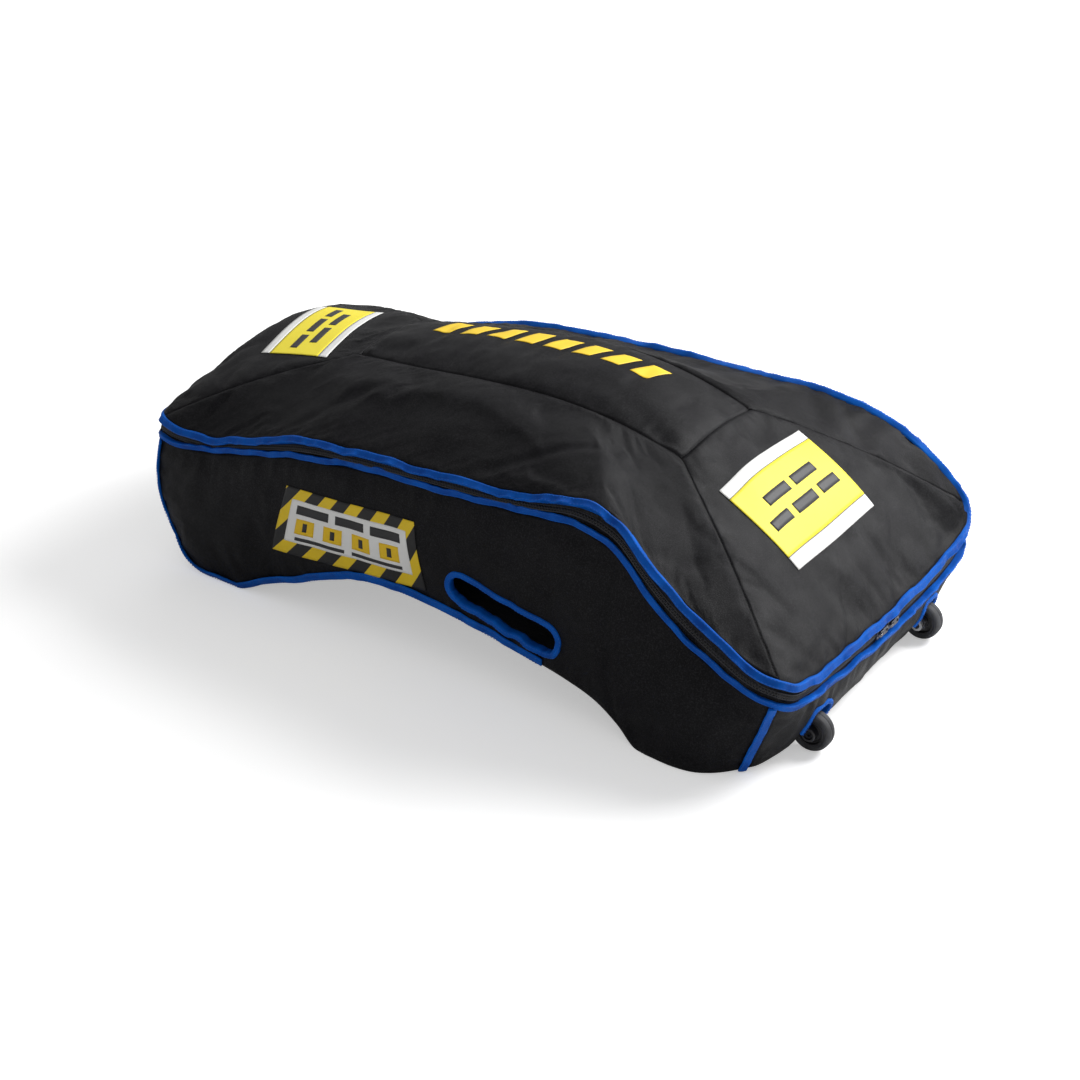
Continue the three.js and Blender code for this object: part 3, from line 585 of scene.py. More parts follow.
FABRIC = woven("padded_fabric", linear(9, 9, 13), linear(14, 13, 18), 1.3 * MM, 0.01, 0.52, 0.1)
LINING = woven("lining", linear(26, 26, 30), linear(36, 36, 40), 0.9 * MM)
PLASTIC = moulded("wheel_plastic", linear(26, 26, 29), linear(48, 48, 52), 0.42)
STEEL = moulded("zinc_steel", linear(120, 122, 126), linear(168, 170, 174), 0.35, metal=0.95)
BOARD = moulded("fibre_board", linear(40, 38, 36), linear(66, 62, 58), 0.85, scale=60)
WHITE = printed("white_print", linear(236, 236, 234), linear(205, 203, 198))
YELLOW = printed("yellow_print", linear(250, 232, 60), linear(235, 208, 40))
AMBER = printed("amber_print", linear(240, 196, 24), linear(214, 168, 22))
INK = printed("dark_print", linear(46, 46, 48), linear(70, 70, 72))
STRIPES = hazard_stripes("hazard_stripes")
GOLD = printed("gold_print", linear(246, 206, 46), linear(226, 180, 34))

# Looks: a material, and the name of the slot it fills in the part's record.
THREAD = woven("black_thread", linear(10, 10, 12), linear(22, 22, 26), 0.5 * MM)
SEAM_THREAD = (THREAD, "padded_fabric")
WEB_THREAD = (THREAD, "webbing")
SEAM_LINING = (LINING, "padded_fabric")
WEBBING = (woven("webbing", linear(20, 20, 23), linear(30, 30, 33), 2.4 * MM, relief=0.6 * MM), "webbing")
ZIP_TAPE = (woven("zip_tape", linear(12, 12, 14), linear(20, 20, 23), 1.0 * MM, sheen=0.03), "webbing")
BLUE_TAPE = (grosgrain("blue_binding"), "blue_binding")
BLUE_LOOK = moulded("blue_thread", linear(4, 52, 140), linear(14, 84, 190), 0.6, scale=300)
BLUE_THREAD = (BLUE_LOOK, "blue_binding")
COIL = (moulded("zip_coil", linear(16, 16, 18), linear(36, 36, 39), 0.38, edge_light=0.3), "zip_coil")
# painted highlight: the slider's edges are lightened strongly (edge_light 0.9) to stand in for glints on the
# metal
SLIDER = (
    moulded("slider_metal", linear(26, 26, 29), linear(70, 70, 74), 0.34, metal=0.7, edge_light=0.9),
    "slider_metal",
)
TYRE = (moulded("tyre_rubber", linear(38, 38, 41), linear(78, 79, 82), 0.7, edge_light=0.3, scale=90), "tyre")
HUB = (PLASTIC, "wheel_plastic")
SLEEVE = (STEEL, "wheel_plastic")
BOLT = (moulded("black_steel", linear(28, 28, 31), linear(60, 60, 64), 0.4, metal=0.8), "steel")


# ---------- padded panels ----------
SEAM_GROOVE = (2.6 * MM, 4.5 * MM)  # how deep a seam pulls a panel in, and how wide
BOUND_GROOVE = (1.2 * MM, 7 * MM)  # the same along a bound edge
PUCKER = {SEAM_GROOVE: (0.9 * MM, 16 * MM), BOUND_GROOVE: (1.3 * MM, 26 * MM)}  # height, and reach inwards
FOLDS = {
    # Creases: from, to (each as shares along and down the panel), half width and depth.
    "tub_right_panel": [
        ((0.735, 0.0), (0.775, 0.95), 9 * MM, 3.4 * MM),
        ((0.66, 0.25), (0.70, 0.95), 12 * MM, 1.6 * MM),
        ((0.20, 0.05), (0.26, 0.45), 10 * MM, 1.8 * MM),
        ((0.84, 0.1), (0.90, 0.8), 16 * MM, 1.8 * MM),
    ],
    "lid_right_panel": [
        ((0.012, 0.58), (0.095, 0.99), 3 * MM, 2.6 * MM),
        ((0.74, 0.15), (0.78, 0.98), 11 * MM, 2.6 * MM),
        ((0.52, 0.3), (0.47, 0.98), 12 * MM, 1.8 * MM),
        ((0.17, 0.25), (0.24, 0.95), 12 * MM, 1.6 * MM),
    ],
    "lid_wheel_end_panel": [
        ((0.27, 0.99), (0.40, 0.60), 7 * MM, 3.6 * MM),
        ((0.40, 0.99), (0.47, 0.76), 6 * MM, 2.8 * MM),
        ((0.50, 0.99), (0.64, 0.70), 8 * MM, 3.2 * MM),
        ((0.88, 0.95), (0.72, 0.52), 9 * MM, 3.2 * MM),
        ((0.95, 0.80), (0.82, 0.60), 7 * MM, 2.4 * MM),
        ((0.08, 0.94), (0.28, 0.80), 8 * MM, 2.6 * MM),
        ((0.16, 0.98), (0.22, 0.88), 5 * MM, 2.0 * MM),
    ],
    "lid_top_panel": [
        ((0.92, 0.05), (0.70, 0.30), 12 * MM, 1.4 * MM),
        ((0.05, 0.1), (0.25, 0.3), 12 * MM, 1.4 * MM),
    ],
    "lid_left_panel": [
        ((0.72, 0.1), (0.78, 0.98), 11 * MM, 2.4 * MM),
        ((0.3, 0.2), (0.26, 0.95), 12 * MM, 1.6 * MM),
    ],
    "tub_left_panel": [
        ((0.735, 0.0), (0.775, 0.95), 9 * MM, 3.0 * MM),
        ((0.3, 0.1), (0.27, 0.8), 12 * MM, 1.8 * MM),
    ],
    "lid_far_end_panel": [
        ((0.2, 0.97), (0.3, 0.6), 10 * MM, 2.0 * MM),
        ((0.75, 0.97), (0.68, 0.6), 10 * MM, 2.0 * MM),
    ],
}


def crease(grid, start, end, width, depth):
    """How far a crease pulls each point of a panel in."""
    along, down = lengths(grid, 0), lengths(grid, 1)
    size = np.array([along.max(), down.max()])
    p = np.stack([along, down], axis=-1)
    a, b = np.array(start) * size, np.array(end) * size
    t = np.clip(((p - a) @ (b - a)) / ((b - a) @ (b - a)), 0, 1)
    distance = np.linalg.norm(p - (a + t[..., None] * (b - a)), axis=-1)
    valley = np.exp(-((distance / width) ** 2))
    banks = np.exp(-(((distance - 2.2 * width) / (1.3 * width)) ** 2))
    return depth * (valley - 0.35 * banks) * (1 - 0.6 * t)


def padding(name, grid, grooves):
    """How far out of its smooth shape the padding pushes each point of a panel."""
    along, down = lengths(grid, 0), lengths(grid, 1)
    rims = {"start": along, "end": along[-1] - along, "top": down, "bottom": down[:, -1:] - down}
    height = np.zeros(grid.shape[:2])
    inside = np.ones(grid.shape[:2])
    for rim, groove in grooves.items():
        depth, width = groove
        pucker, reach = PUCKER[groove]
        distance = np.maximum(rims[rim], 0)
        run = down if rim in ("start", "end") else along
        pull = np.exp(-distance / width)
        height -= depth * pull
        ripple = field(run[..., None], 34 * MM, 10) + 0.5 * field(run[..., None], 17 * MM, 8)
        height += pucker * ripple * np.exp(-distance / reach) * (1 - pull)
        inside *= 1 - pull
    swells = ((1.5 * MM, 150 * MM), (0.7 * MM, 62 * MM), (0.18 * MM, 24 * MM))
    height += sum(size * field(grid, wavelength) for size, wavelength in swells) * inside
    for fold in FOLDS.get(name, []):
        height -= crease(grid, *fold) * inside**0.3
    return height


def cells(length):
    return max(6, round(length / CELL))


def grid_over(surface, along, down, trim):
    u0, u1, v0, v1 = trim
    u, v = np.meshgrid(np.linspace(u0, u1, along + 1), np.linspace(v0, v1, down + 1), indexing="ij")
    return surface(u, v)


S, B = SEAM_GROOVE, BOUND_GROOVE
PANELS = [
    # name, cells along, cells down, grooves at its start, end, top and bottom
    ("lid_top_panel", 500, 172, (S, S, S, S)),
    ("lid_right_panel", 950, 175, (S, S, S, B)),
    ("lid_left_panel", 950, 175, (S, S, S, B)),
    ("lid_wheel_end_panel", 470, 285, (S, S, S, B)),
    ("lid_far_end_panel", 450, 270, (S, S, S, B)),
    ("tub_right_panel", 960, 165, (B, B, B, B)),
    ("tub_left_panel", 960, 165, (B, B, B, B)),
    ("tub_wheel_end_panel", 480, 85, (B, B, B, B)),
    ("tub_far_end_panel", 450, 150, (B, B, B, B)),
]
TRIM = (0.0004, 0.9996, 0.0015, 0.9985)  # the part of a surface that its cover spans, along and down
LABEL_MARGIN = 22 * MM  # how far past its label a panel lies smooth
LABELS = {
    # panel: its label, the plane the label is seen in, how far the label's patch stiffens the cloth
    "lid_wheel_end_panel": ("wheel_end_label", [0, 1], 100 * MM),
    "lid_far_end_panel": ("far_end_label", [0, 1], 100 * MM),
    "tub_right_panel": ("side_label", [0, 2], 28 * MM),
}
skins = {}
covers = {}


def bell(reach):
    """Weights that smooth a row of values over so many on each side."""
    weights = np.exp(-np.linspace(-2, 2, 2 * reach + 1) ** 2)
    return weights / weights.sum()


def blurred(grid, reach):
    """A grid of values smoothed both ways, over about so many cells."""
    for axis in (0, 1):
        pad = [(reach, reach) if k == axis else (0, 0) for k in range(3)]
        wide = np.pad(grid, pad, mode="edge")
        length = grid.shape[axis]
        grid = sum(w * wide.take(range(k, k + length), axis) for k, w in enumerate(bell(reach)))
    return grid


def inside_quad(points, corners, margin):
    """1 inside a four-sided outline, falling to 0 at a margin outside it."""
    share = np.ones(points.shape[:-1])
    middle = np.mean(corners, axis=0)
    for a, b in zip(corners, corners[1:] + corners[:1]):
        outward = unit(np.array([b[1] - a[1], a[0] - b[0]]))
        outward = outward if outward @ (a - middle) > 0 else -outward
        share = np.minimum(share, 1 - (points - a) @ outward / margin)
    return np.clip(share, 0, 1)


def make_covers():
    """The faces of all padded panels: stretched, filled out as cloth, then pulled in at seams and creases."""
    names = [row[0] for row in PANELS]
    grids = [grid_over(surfaces[n], cells(a * MM), cells(d * MM), TRIM) for n, a, d, _ in PANELS]
    for (name, _, _, grooves), smooth, draped in zip(PANELS, grids, as_cloth(grids)):
        ends = dict(zip(("start", "end", "top", "bottom"), grooves))
        shift = draped - smooth + from_core(smooth) * padding(name, smooth, ends)[..., None]
        if name in LABELS:
            node, axes, reach = LABELS[name]
            stiff = inside_quad(smooth[..., axes], quad_corners(node, axes), LABEL_MARGIN)[..., None]
            shift = shift * (1 - stiff) + blurred(shift, round(reach / CELL)) * stiff
        outer = smooth + shift
        inner = smooth - from_core(smooth) * PANEL
        outer[..., 2] = np.maximum(outer[..., 2], 0)
        inner[..., 2] = np.maximum(inner[..., 2], 0.5 * MM)
        covers[name] = (outer, inner)
        faces = quads(*outer.shape[:2])
        skins[name] = BVHTree.FromPolygons(outer.reshape(-1, 3).tolist(), faces.tolist())
    return names


def drop(name, origin, direction):
    """The point and outward normal where a straight line meets a panel's cover, or nothing."""
    hit, normal, _, _ = skins[name].ray_cast(Vector(origin), Vector(direction))
    if hit is None:
        return None, None
    n = np.array(normal)
    return np.array(hit), n if n @ np.array(direction) < 0 else -n


def cut(piece, vertices, faces):
    """Cuts a closed shape out of a piece."""
    mesh = bpy.data.meshes.new("cutter")
    mesh.from_pydata(np.asarray(vertices).tolist(), [], flip_if_inside_out(vertices, faces))
    cutter = show("cutter", mesh)
    boolean = piece.modifiers.new("cut", "BOOLEAN")
    boolean.object, boolean.operation, boolean.solver = cutter, "DIFFERENCE", "EXACT"
    cut_mesh = bpy.data.meshes.new_from_object(evaluated(piece))
    piece.modifiers.remove(boolean)
    piece.data = cut_mesh
    bpy.data.objects.remove(cutter)
    bpy.data.meshes.remove(mesh)


def arc(cx, cy, radius, start, end, count=14):
    turn = np.radians(np.linspace(start, end, count))
    return [(cx + radius * math.cos(t), cy + radius * math.sin(t)) for t in turn]


def prism(outline, axis, low, high):
    """A closed straight prism over an outline of (a, b) points, along X or Y."""
    n = len(outline)
    points = []
    for depth in (low, high):
        for a, b in outline:
            points.append((depth, a, b) if axis == "x" else (a, depth, b))
    faces = [list(range(n))[::-1], list(range(n, 2 * n))]
    faces += [[i, (i + 1) % n, n + (i + 1) % n, n + i] for i in range(n)]
    return points, faces


def stadium_outline(node, inset, count=96):
    """The slanted round-ended outline of a hand slot, from the box of its CAD binding."""
    low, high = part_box(node)
    dx, dz = high.x - low.x, high.z - low.z
    slope = abs(math.tan(SLOT_TILT))
    height = (dz - slope * dx) / (1 - slope)
    length = (dx - height) / math.cos(SLOT_TILT) + height
    radius, reach = height / 2 - inset, (length - height) / 2
    straight, arc = 2 * reach, math.pi * radius
    total = 2 * (straight + arc)
    centre = np.array([(low.x + high.x) / 2, (low.z + high.z) / 2])
    along = np.array([math.cos(SLOT_TILT), math.sin(SLOT_TILT)])
    up = np.array([-along[1], along[0]])
    points = []
    for k in range(count):
        s = total * k / count
        if s < straight:
            p = (-reach + s, -radius)
        elif s < straight + arc:
            turn = (s - straight) / radius - math.pi / 2
            p = (reach + radius * math.cos(turn), radius * math.sin(turn))
        elif s < 2 * straight + arc:
            p = (reach - (s - straight - arc), radius)
        else:
            turn = (s - 2 * straight - arc) / radius + math.pi / 2
            p = (-reach + radius * math.cos(turn), radius * math.sin(turn))
        points.append(centre + p[0] * along + p[1] * up)
    return np.array(points)


def arch_outline(node, inset, bottom, count=14):
    """The round-cornered outline of a wheel cut-out, from the box of its CAD binding."""
    low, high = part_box(node)
    middle, half, top = (low.y + high.y) / 2, (high.y - low.y) / 2, high.z - inset
    radius = half * 0.6 - inset * 0.5
    half = half - inset
    legs = np.linspace(bottom, top - radius, 12)[:-1]
    right = [(middle + half, z) for z in legs]
    right += arc(middle + half - radius, top - radius, radius, 0, 90, count)
    return np.array(right + [(2 * middle - y, z) for y, z in right[::-1]])


HOLE_INSET = 4 * MM  # how far the cloth's holes lie inside the outer edge of their bindings


def padded(name, outer, inner, body, node):
    """A padded sheet with fabric outside and lining inside."""
    vertices, faces, inside, uv = shell_mesh(outer, inner)
    return publish(name, vertices, faces, body, [FABRIC, LINING], "padded_fabric", uv, inside, [node])


def make_panels():
    for name in make_covers():
        body = "lid" if name.startswith("lid") else "tub"
        piece = padded(f"{name}_cover", *covers[name], body, name)
        for side in SIDES:
            if name == f"tub_{side}_panel":
                outline = stadium_outline(f"hand_slot_binding_{side}", HOLE_INSET)
                low, high = (-0.30, -0.18) if side == "right" else (0.18, 0.30)
                cut(piece, *prism(outline, "y", low, high))
            if name == "tub_wheel_end_panel":
                outline = arch_outline(f"wheel_cutout_binding_{side}", HOLE_INSET, -0.02)
                cut(piece, *prism(outline, "x", 0.40, 0.52))


def make_base():
    """The tub's underside: flat on the feet and arched between them."""
    inset = np.array([0, BASE_INSET, 0])

    def under(u, v):
        w = v[..., None]
        p = (foot["right"](u) + inset) * (1 - w) + (foot["left"](u) - inset) * w
        for end, near, reach in (("far", 1 - u, 0.024), ("wheel", u, 0.05)):
            wall = foot[end](0.006 + 0.988 * v) - np.array([math.copysign(PANEL, foot[end](0.5)[0]), 0, 0])
            turn_up = np.exp(-(((1 - near) / reach) ** 2))[..., None]
            p = p * (1 - turn_up) + (wall + 0.5 * MM * Z) * turn_up
        return p

    lower = grid_over(under, cells(0.95), cells(0.44), (0, 1, 0, 1))
    lower[..., 2] += 0.6 * MM + 0.6 * MM * (1 + field(lower, 80 * MM)) * (lower[..., 2] > 12 * MM)
    lower[..., 2] = np.maximum(lower[..., 2], 0)
    padded("tub_base_cover", lower, lower + PANEL * Z, "tub", "tub_base_panel")


# ---------- tapes, threads and beads ----------
def along_path(path, closed):
    if closed:
        return unit(np.roll(path, -1, 0) - np.roll(path, 1, 0))
    return unit(np.gradient(path, axis=0))


def run(path):
    """Distance from the start of a path to each of its points."""
    steps = np.linalg.norm(np.diff(path, axis=0), axis=1)
    return np.concatenate([[0], np.cumsum(steps)])


def evenly(path, pitch, closed=False):
    """The same path with its points evenly spaced, about pitch apart."""
    whole = np.vstack([path, path[:1]]) if closed else path
    s = run(whole)
    count = max(4, round(s[-1] / pitch))
    t = np.linspace(0, s[-1], count + 1)
    even = np.stack([np.interp(t, s, whole[:, k]) for k in range(3)], axis=-1)
    return even[:-1] if closed else even


def softened(path, reach, closed):
    """A path with its corners rounded over so many points."""
    before, after = path[-reach:], path[:reach]
    if not closed:
        before = 2 * path[:1] - path[1:reach + 1][::-1]
        after = 2 * path[-1:] - path[-reach - 1:-1][::-1]
    whole = np.vstack([before, path, after])
    return np.stack([np.convolve(whole[:, k], bell(reach), "valid") for k in range(3)], axis=-1)


def frames(path, outward, closed):
    """The way along a path, square outward directions, and the way across."""
    ahead = along_path(path, closed)
    out = unit(outward - (outward * ahead).sum(-1, keepdims=True) * ahead)
    return ahead, out, np.cross(out, ahead)


def strip(n, m, j, closed):
    """The faces between points j and j + 1 of n rings of m points."""
    i = np.arange(n if closed else n - 1)
    ahead, k = (i + 1) % n, (j + 1) % m
    return np.stack([i * m + j, ahead * m + j, ahead * m + k, i * m + k], axis=-1)


def sweep(path, across, outward, profile, closed):
    """A closed outline carried along a path. profile has (across, outward) for each station or for all."""
    profile = np.broadcast_to(profile, (len(path),) + np.shape(profile)[-2:])
    rings = path[:, None] + across[:, None] * profile[..., :1] + outward[:, None] * profile[..., 1:]
    n, m = rings.shape[:2]
    faces = np.concatenate([strip(n, m, j, closed) for j in range(m)]).tolist()
    if not closed:
        faces.append(list(range(m)))
        faces.append([(n - 1) * m + j for j in range(m)][::-1])
    s = run(path)
    around = np.concatenate([[0], np.cumsum(np.linalg.norm(np.diff(profile[0], axis=0), axis=1))])
    uv = np.stack(np.meshgrid(s, around, indexing="ij"), axis=-1).reshape(-1, 2)
    return rings.reshape(-1, 3), faces, uv


def flip_if_inside_out(vertices, faces):
    vertices = np.asarray(vertices)
    middle = vertices.mean(0)
    total = 0.0
    for face in faces:
        p = vertices[face] - middle
        for k in range(1, len(face) - 1):
            total += np.dot(p[0], np.cross(p[k], p[k + 1]))
    return faces if total > 0 else [f[::-1] for f in faces]


def tape(name, path, outward, profile, closed, body, look, replaces=()):
    """A tape or cord laid along a path, with its profile's second way pointing outward."""
    material, slot = look
    _, out, across = frames(path, outward, closed)
    vertices, faces, uv = sweep(path, across, out, profile, closed)
    faces = flip_if_inside_out(vertices, faces)
    publish(name, vertices, faces, body, [material], slot, uv, replaces=replaces)


def circle(count, radius):
    turn = 2 * np.pi * np.arange(count) / count
    return np.stack([np.cos(turn), np.sin(turn)], axis=-1) * radius


def at_each(profile, path):
    """One copy of a profile for each point of a path."""
    return np.repeat(profile[None], len(path), 0)


BEAD_RINGS = [(-0.5, 0.45), (-0.32, 0.95), (0.32, 0.95), (0.5, 0.45)]


BEAD_SIDES = 6


def beads(name, centres, axes, size, body, look, replaces=()):
    """Many small rounded bars in one mesh: stitches, or the teeth of a zip. size is length, width, height."""
    material, slot = look
    turn = 2 * np.pi * (np.arange(BEAD_SIDES) + 0.5) / BEAD_SIDES
    ring = np.stack([np.cos(turn), np.sin(turn)], axis=-1) / 2
    rings = [np.c_[np.full(BEAD_SIDES, place_on), ring * share] for place_on, share in BEAD_RINGS]
    bar = np.concatenate(rings) * np.array(size)
    vertices = centres[:, None] + sum(axis[:, None] * bar[:, k:k + 1] for k, axis in enumerate(axes))
    count = len(bar)
    block = []
    for r in range(len(BEAD_RINGS) - 1):
        for k in range(BEAD_SIDES):
            a, b = r * BEAD_SIDES + k, r * BEAD_SIDES + (k + 1) % BEAD_SIDES
            block.append([a, b, b + BEAD_SIDES, a + BEAD_SIDES])
    caps = [list(range(BEAD_SIDES))[::-1], list(range(count - BEAD_SIDES, count))]
    block = flip_if_inside_out(vertices[0], block + caps)
    faces = [[i + n * count for i in face] for n in range(len(centres)) for face in block]
    publish(name, vertices.reshape(-1, 3), faces, body, [material], slot, replaces=replaces)


STITCH_LENGTH = 3.1 * MM
STITCH_THICK = 0.8 * MM


def stitches(name, path, outward, body, look, closed=False, pitch=4.6 * MM, length=STITCH_LENGTH):
    """A row of thread stitches lying along a path."""
    points = evenly(path, pitch, closed)
    source = np.array([np.linalg.norm(path - p, axis=1).argmin() for p in points])
    ahead, out, across = frames(points, outward[source], closed)
    size = (length, STITCH_THICK, STITCH_THICK * 0.8)
    beads(name, points + out * 0.1 * MM, (ahead, across, out), size, body, look)


# ---------- edge bindings ----------
# Profiles of the folded tape: across it, and outward. The lip side of an edge binding faces the zip.
LIP = np.array([(6, -1.5), (5.7, 0.2), (4.6, 1.0), (2.5, 1.5), (0, 2.0), (-2.5, 2.7), (-4.6, 3.3),
                (-5.7, 3.2), (-6.3, 2.3), (-6.2, 0.6), (-6, -3), (-5.6, -9), (5.2, -9.3), (5.8, -6)]) * MM
FLAT = np.array([(5.6, 0.2), (5.8, 1.2), (5.2, 2.0), (2.5, 2.5), (0, 2.6), (-2.5, 2.5), (-5.2, 2.0),
                 (-5.8, 1.2), (-5.6, 0.2), (-4, -1.2), (4, -1.2)]) * MM
ROLL = np.array([(5.3, 0.3), (5.3, 1.4), (4.4, 2.3), (2, 2.9), (-1.5, 3.1), (-4.2, 2.6), (-5.6, 1.2),
                 (-6.0, -1.5), (-5.9, -6), (-5, -9.6), (0, -10.4), (4.5, -9.8), (4.9, -6)]) * MM


def loop_path(edges):
    t = np.linspace(0, 1, 400)[:-1]
    legs = [edges["right"](t), edges["wheel"](t), edges["left"](1 - t), edges["far"](1 - t)]
    return softened(evenly(np.concatenate(legs), 3 * MM, True), 5, True)


HINGE_FADE = (22 * MM, 12 * MM)  # the waves die out this far from the hinge strip, over this length


def waved(path, profile, lip_sign):
    """The binding's profile at each station: the tape sways, tilts and flares a little."""
    s = run(path)
    total = s[-1] + np.linalg.norm(path[0] - path[-1])
    turn = 2 * np.pi * s / total
    ring = np.stack([np.cos(turn), np.sin(turn)], axis=-1) * total / (2 * np.pi)
    sway = field(ring, 170 * MM) * 1.2 * MM + field(ring, 60 * MM) * 1.5 * MM
    flare = 1 + 0.6 * field(ring, 90 * MM) + 0.4 * field(ring, 33 * MM)
    ripple = field(ring, 26 * MM) * 0.7 * MM + field(ring, 12 * MM) * 0.25 * MM
    shaped = at_each(profile, path)
    lip = np.clip((lip_sign * -profile[:, 0] / (6 * MM) + 1) / 2, 0, 1) * (profile[:, 1] > 0)
    shaped[..., 1] += (profile[None, :, 1] * (flare[:, None] - 1) * 0.8 + ripple[:, None] * 1.5) * lip
    shaped[..., 0] += sway[:, None] * (profile[None, :, 1] > -4 * MM) + ripple[:, None] * lip
    past_hinge = path[:, 0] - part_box("lid_hinge_strip")[0].x
    hinged = np.clip((HINGE_FADE[0] - past_hinge) / HINGE_FADE[1], 0, 1)[:, None]
    flat = np.where(profile[:, 1] > 0.6 * MM, 0.6 * MM, profile[:, 1])
    shaped[..., 1] = shaped[..., 1] * (1 - hinged) + flat * hinged
    shaped[..., 0] = shaped[..., 0] * (1 - hinged) + 0.9 * profile[:, 0] * hinged
    return shaped


def make_edge_binding(body, edges, lip_sign):
    name = f"{body}_binding_tape"
    path = loop_path(edges)
    profile = LIP.copy()
    profile[:, 0] = (profile[:, 0] + 6.3 * MM) * TAPE_SHARE[body] - 6.3 * MM
    profile = profile * np.array([lip_sign, 1])
    shaped = waved(path, profile, lip_sign)
    outward = from_core(path)
    tape(name, path, outward, shaped, True, body, BLUE_TAPE, [f"{body}_binding"])
    _, out, across = frames(path, outward, True)
    for row, index in (("inner", 2), ("outer", 6)):
        line = path + across * (shaped[:, index, 0:1] * 0.93) + out * (shaped[:, index, 1:2] + 0.15 * MM)
        stitches(f"{name}_{row}_stitches", line, outward, body, BLUE_THREAD, True)


WALL_BINDINGS = {
    # Each line on a side wall: places along and down the wall, as shares of it.
    "wheel_corner": [(0.994, 0.02), (0.994, 0.5), (0.992, 0.985)],
    "far_corner": [(0.007, 0.02), (0.007, 0.5), (0.007, 0.9)],
    "lower_edge": [(0.008, 0.90), (0.02, 0.955), (0.06, 0.97), (0.3, 0.972), (0.68, 0.972)],
}


def make_wall_binding(line, side):
    """A folded tape laid along a line on a side wall."""
    name = f"{line}_tape_{side}"
    u, v = np.array(WALL_BINDINGS[line]).T
    t = np.linspace(0, 1, len(u))
    fine = np.linspace(0, 1, 300)
    path = surfaces[f"tub_{side}_panel"](np.interp(fine, t, u), np.interp(fine, t, v))
    path = softened(evenly(path, 2.5 * MM), 5, False)
    path[:, 2] = np.maximum(path[:, 2], 1.5 * MM)
    outward = from_core(path)
    profile = at_each(FLAT, path)
    s = run(path)[:, None]
    profile[..., 0] += (field(s, 55 * MM) * 0.7 * MM)[:, None] + (field(s, 22 * MM) * 0.3 * MM)[:, None]
    profile[..., 1] += (field(s, 35 * MM) * 0.35 * MM)[:, None] * (FLAT[:, 1] > 0)
    tape(name, path, outward, profile, False, "tub", BLUE_TAPE, [f"{line}_binding_{side}"])
    _, out, across = frames(path, outward, False)
    for row, sign in (("front", 1), ("back", -1)):
        stitched = path + across * sign * 4.3 * MM + out * 2.4 * MM
        stitches(f"{name}_{row}_stitches", stitched[3:-3], outward[3:-3], "tub", BLUE_THREAD)


def make_wall_bindings():
    for side in SIDES:
        for line in WALL_BINDINGS:
            make_wall_binding(line, side)


def make_slot_bindings():
    """Binding rolled round the edge of each hand slot. Its lower lip sags in waves."""
    for side, y in zip(SIDES, (-1.0, 1.0)):
        name = f"hand_slot_tape_{side}"
        node = f"hand_slot_binding_{side}"
        outline = stadium_outline(node, HOLE_INSET, 190)
        hits = [drop(f"tub_{side}_panel", (x, y, z), (0, -y, 0)) for x, z in outline]
        path, outward = (np.array(row) for row in zip(*hits))
        path = softened(path, 3, True)
        _, out, across = frames(path, outward, True)
        away = np.sign(((path - path.mean(0)) * across).sum(-1)).mean()
        shape = ROLL * np.array([0.74 * away, 0.9])
        profile = at_each(shape, path)
        s = run(path)[:, None]
        blend = np.sin(np.pi * s[:, 0] / s[-1, 0]) ** 0.3
        sag = np.clip((path[:, 2].mean() - path[:, 2]) / (16 * MM), 0.15, 1)
        droop = field(s, 45 * MM) * 1.6 * MM + field(s, 18 * MM) * 0.6 * MM
        profile[..., 0] += (droop * blend * sag)[:, None]
        profile[..., 1] += ((field(s, 34 * MM) * 1.0 * MM) * blend * sag)[:, None] * (shape[:, 1] > 0)
        tape(name, path, outward, profile, True, "tub", BLUE_TAPE, [node])
        for row, k in (("outer", 2), ("inner", 5)):
            line = path + across * profile[:, k, 0:1] * 0.9 + out * (profile[:, k, 1:2] + 0.2 * MM)
            stitches(f"{name}_{row}_stitches", line, outward, "tub", BLUE_THREAD, True)


WALL_FOOT = 13 * MM  # below this height the wheel-end wall turns under


def make_cutout_bindings():
    """Binding rolled round each wheel cut-out, down to where the wall turns under."""
    for side in SIDES:
        name = f"wheel_cutout_tape_{side}"
        node = f"wheel_cutout_binding_{side}"
        path = []
        for y, z in arch_outline(node, HOLE_INSET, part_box(node)[0].z):
            hit, _ = drop("tub_wheel_end_panel", (1.0, y, max(z, WALL_FOOT)), (-1, 0, 0))
            path.append((hit[0], y, z))
        path = softened(evenly(np.array(path), 2 * MM), 3, False)
        outward = np.tile([1.0, 0.0, 0.0], (len(path), 1))
        profile = at_each(ROLL * np.array([0.6, 0.9]), path)
        profile[..., 0] += (field(run(path)[:, None], 30 * MM) * 0.5 * MM)[:, None]
        tape(name, path, outward, profile, False, "tub", BLUE_TAPE, [node])
        _, out, _ = frames(path, outward, False)
        stitches(f"{name}_stitches", path + out * 3.2 * MM, outward, "tub", BLUE_THREAD)


WELT_RADIUS = 4.2 * MM
WELT_INSET = 6.5 * MM


def make_inner_seams():
    """The seam allowances inside the tub, bound in lining: up its four corners and round its floor."""

    def welt(name, line, lift, closed):
        flat = unit(from_core(line) * np.array([1, 1, 0]))
        path = softened(line - flat * WELT_INSET + Z * lift, 3, closed)
        tape(name, path, flat, at_each(circle(12, WELT_RADIUS), path), closed, "tub", SEAM_LINING)

    down = np.linspace(0.04, 1, 70)
    for side in SIDES:
        for end, u in (("far", 0.001), ("wheel", 0.999)):
            corner = surfaces[f"tub_{side}_panel"](np.full(70, u), down)
            welt(f"{end}_corner_seam_{side}", corner, 1 * MM, False)
    t = np.linspace(0, 1, 160, endpoint=False)
    floor = np.vstack([foot["right"](t), foot["wheel"](t), foot["left"](1 - t), foot["far"](1 - t)])
    welt("floor_seam", evenly(floor, 5 * MM, True), WELT_INSET, True)


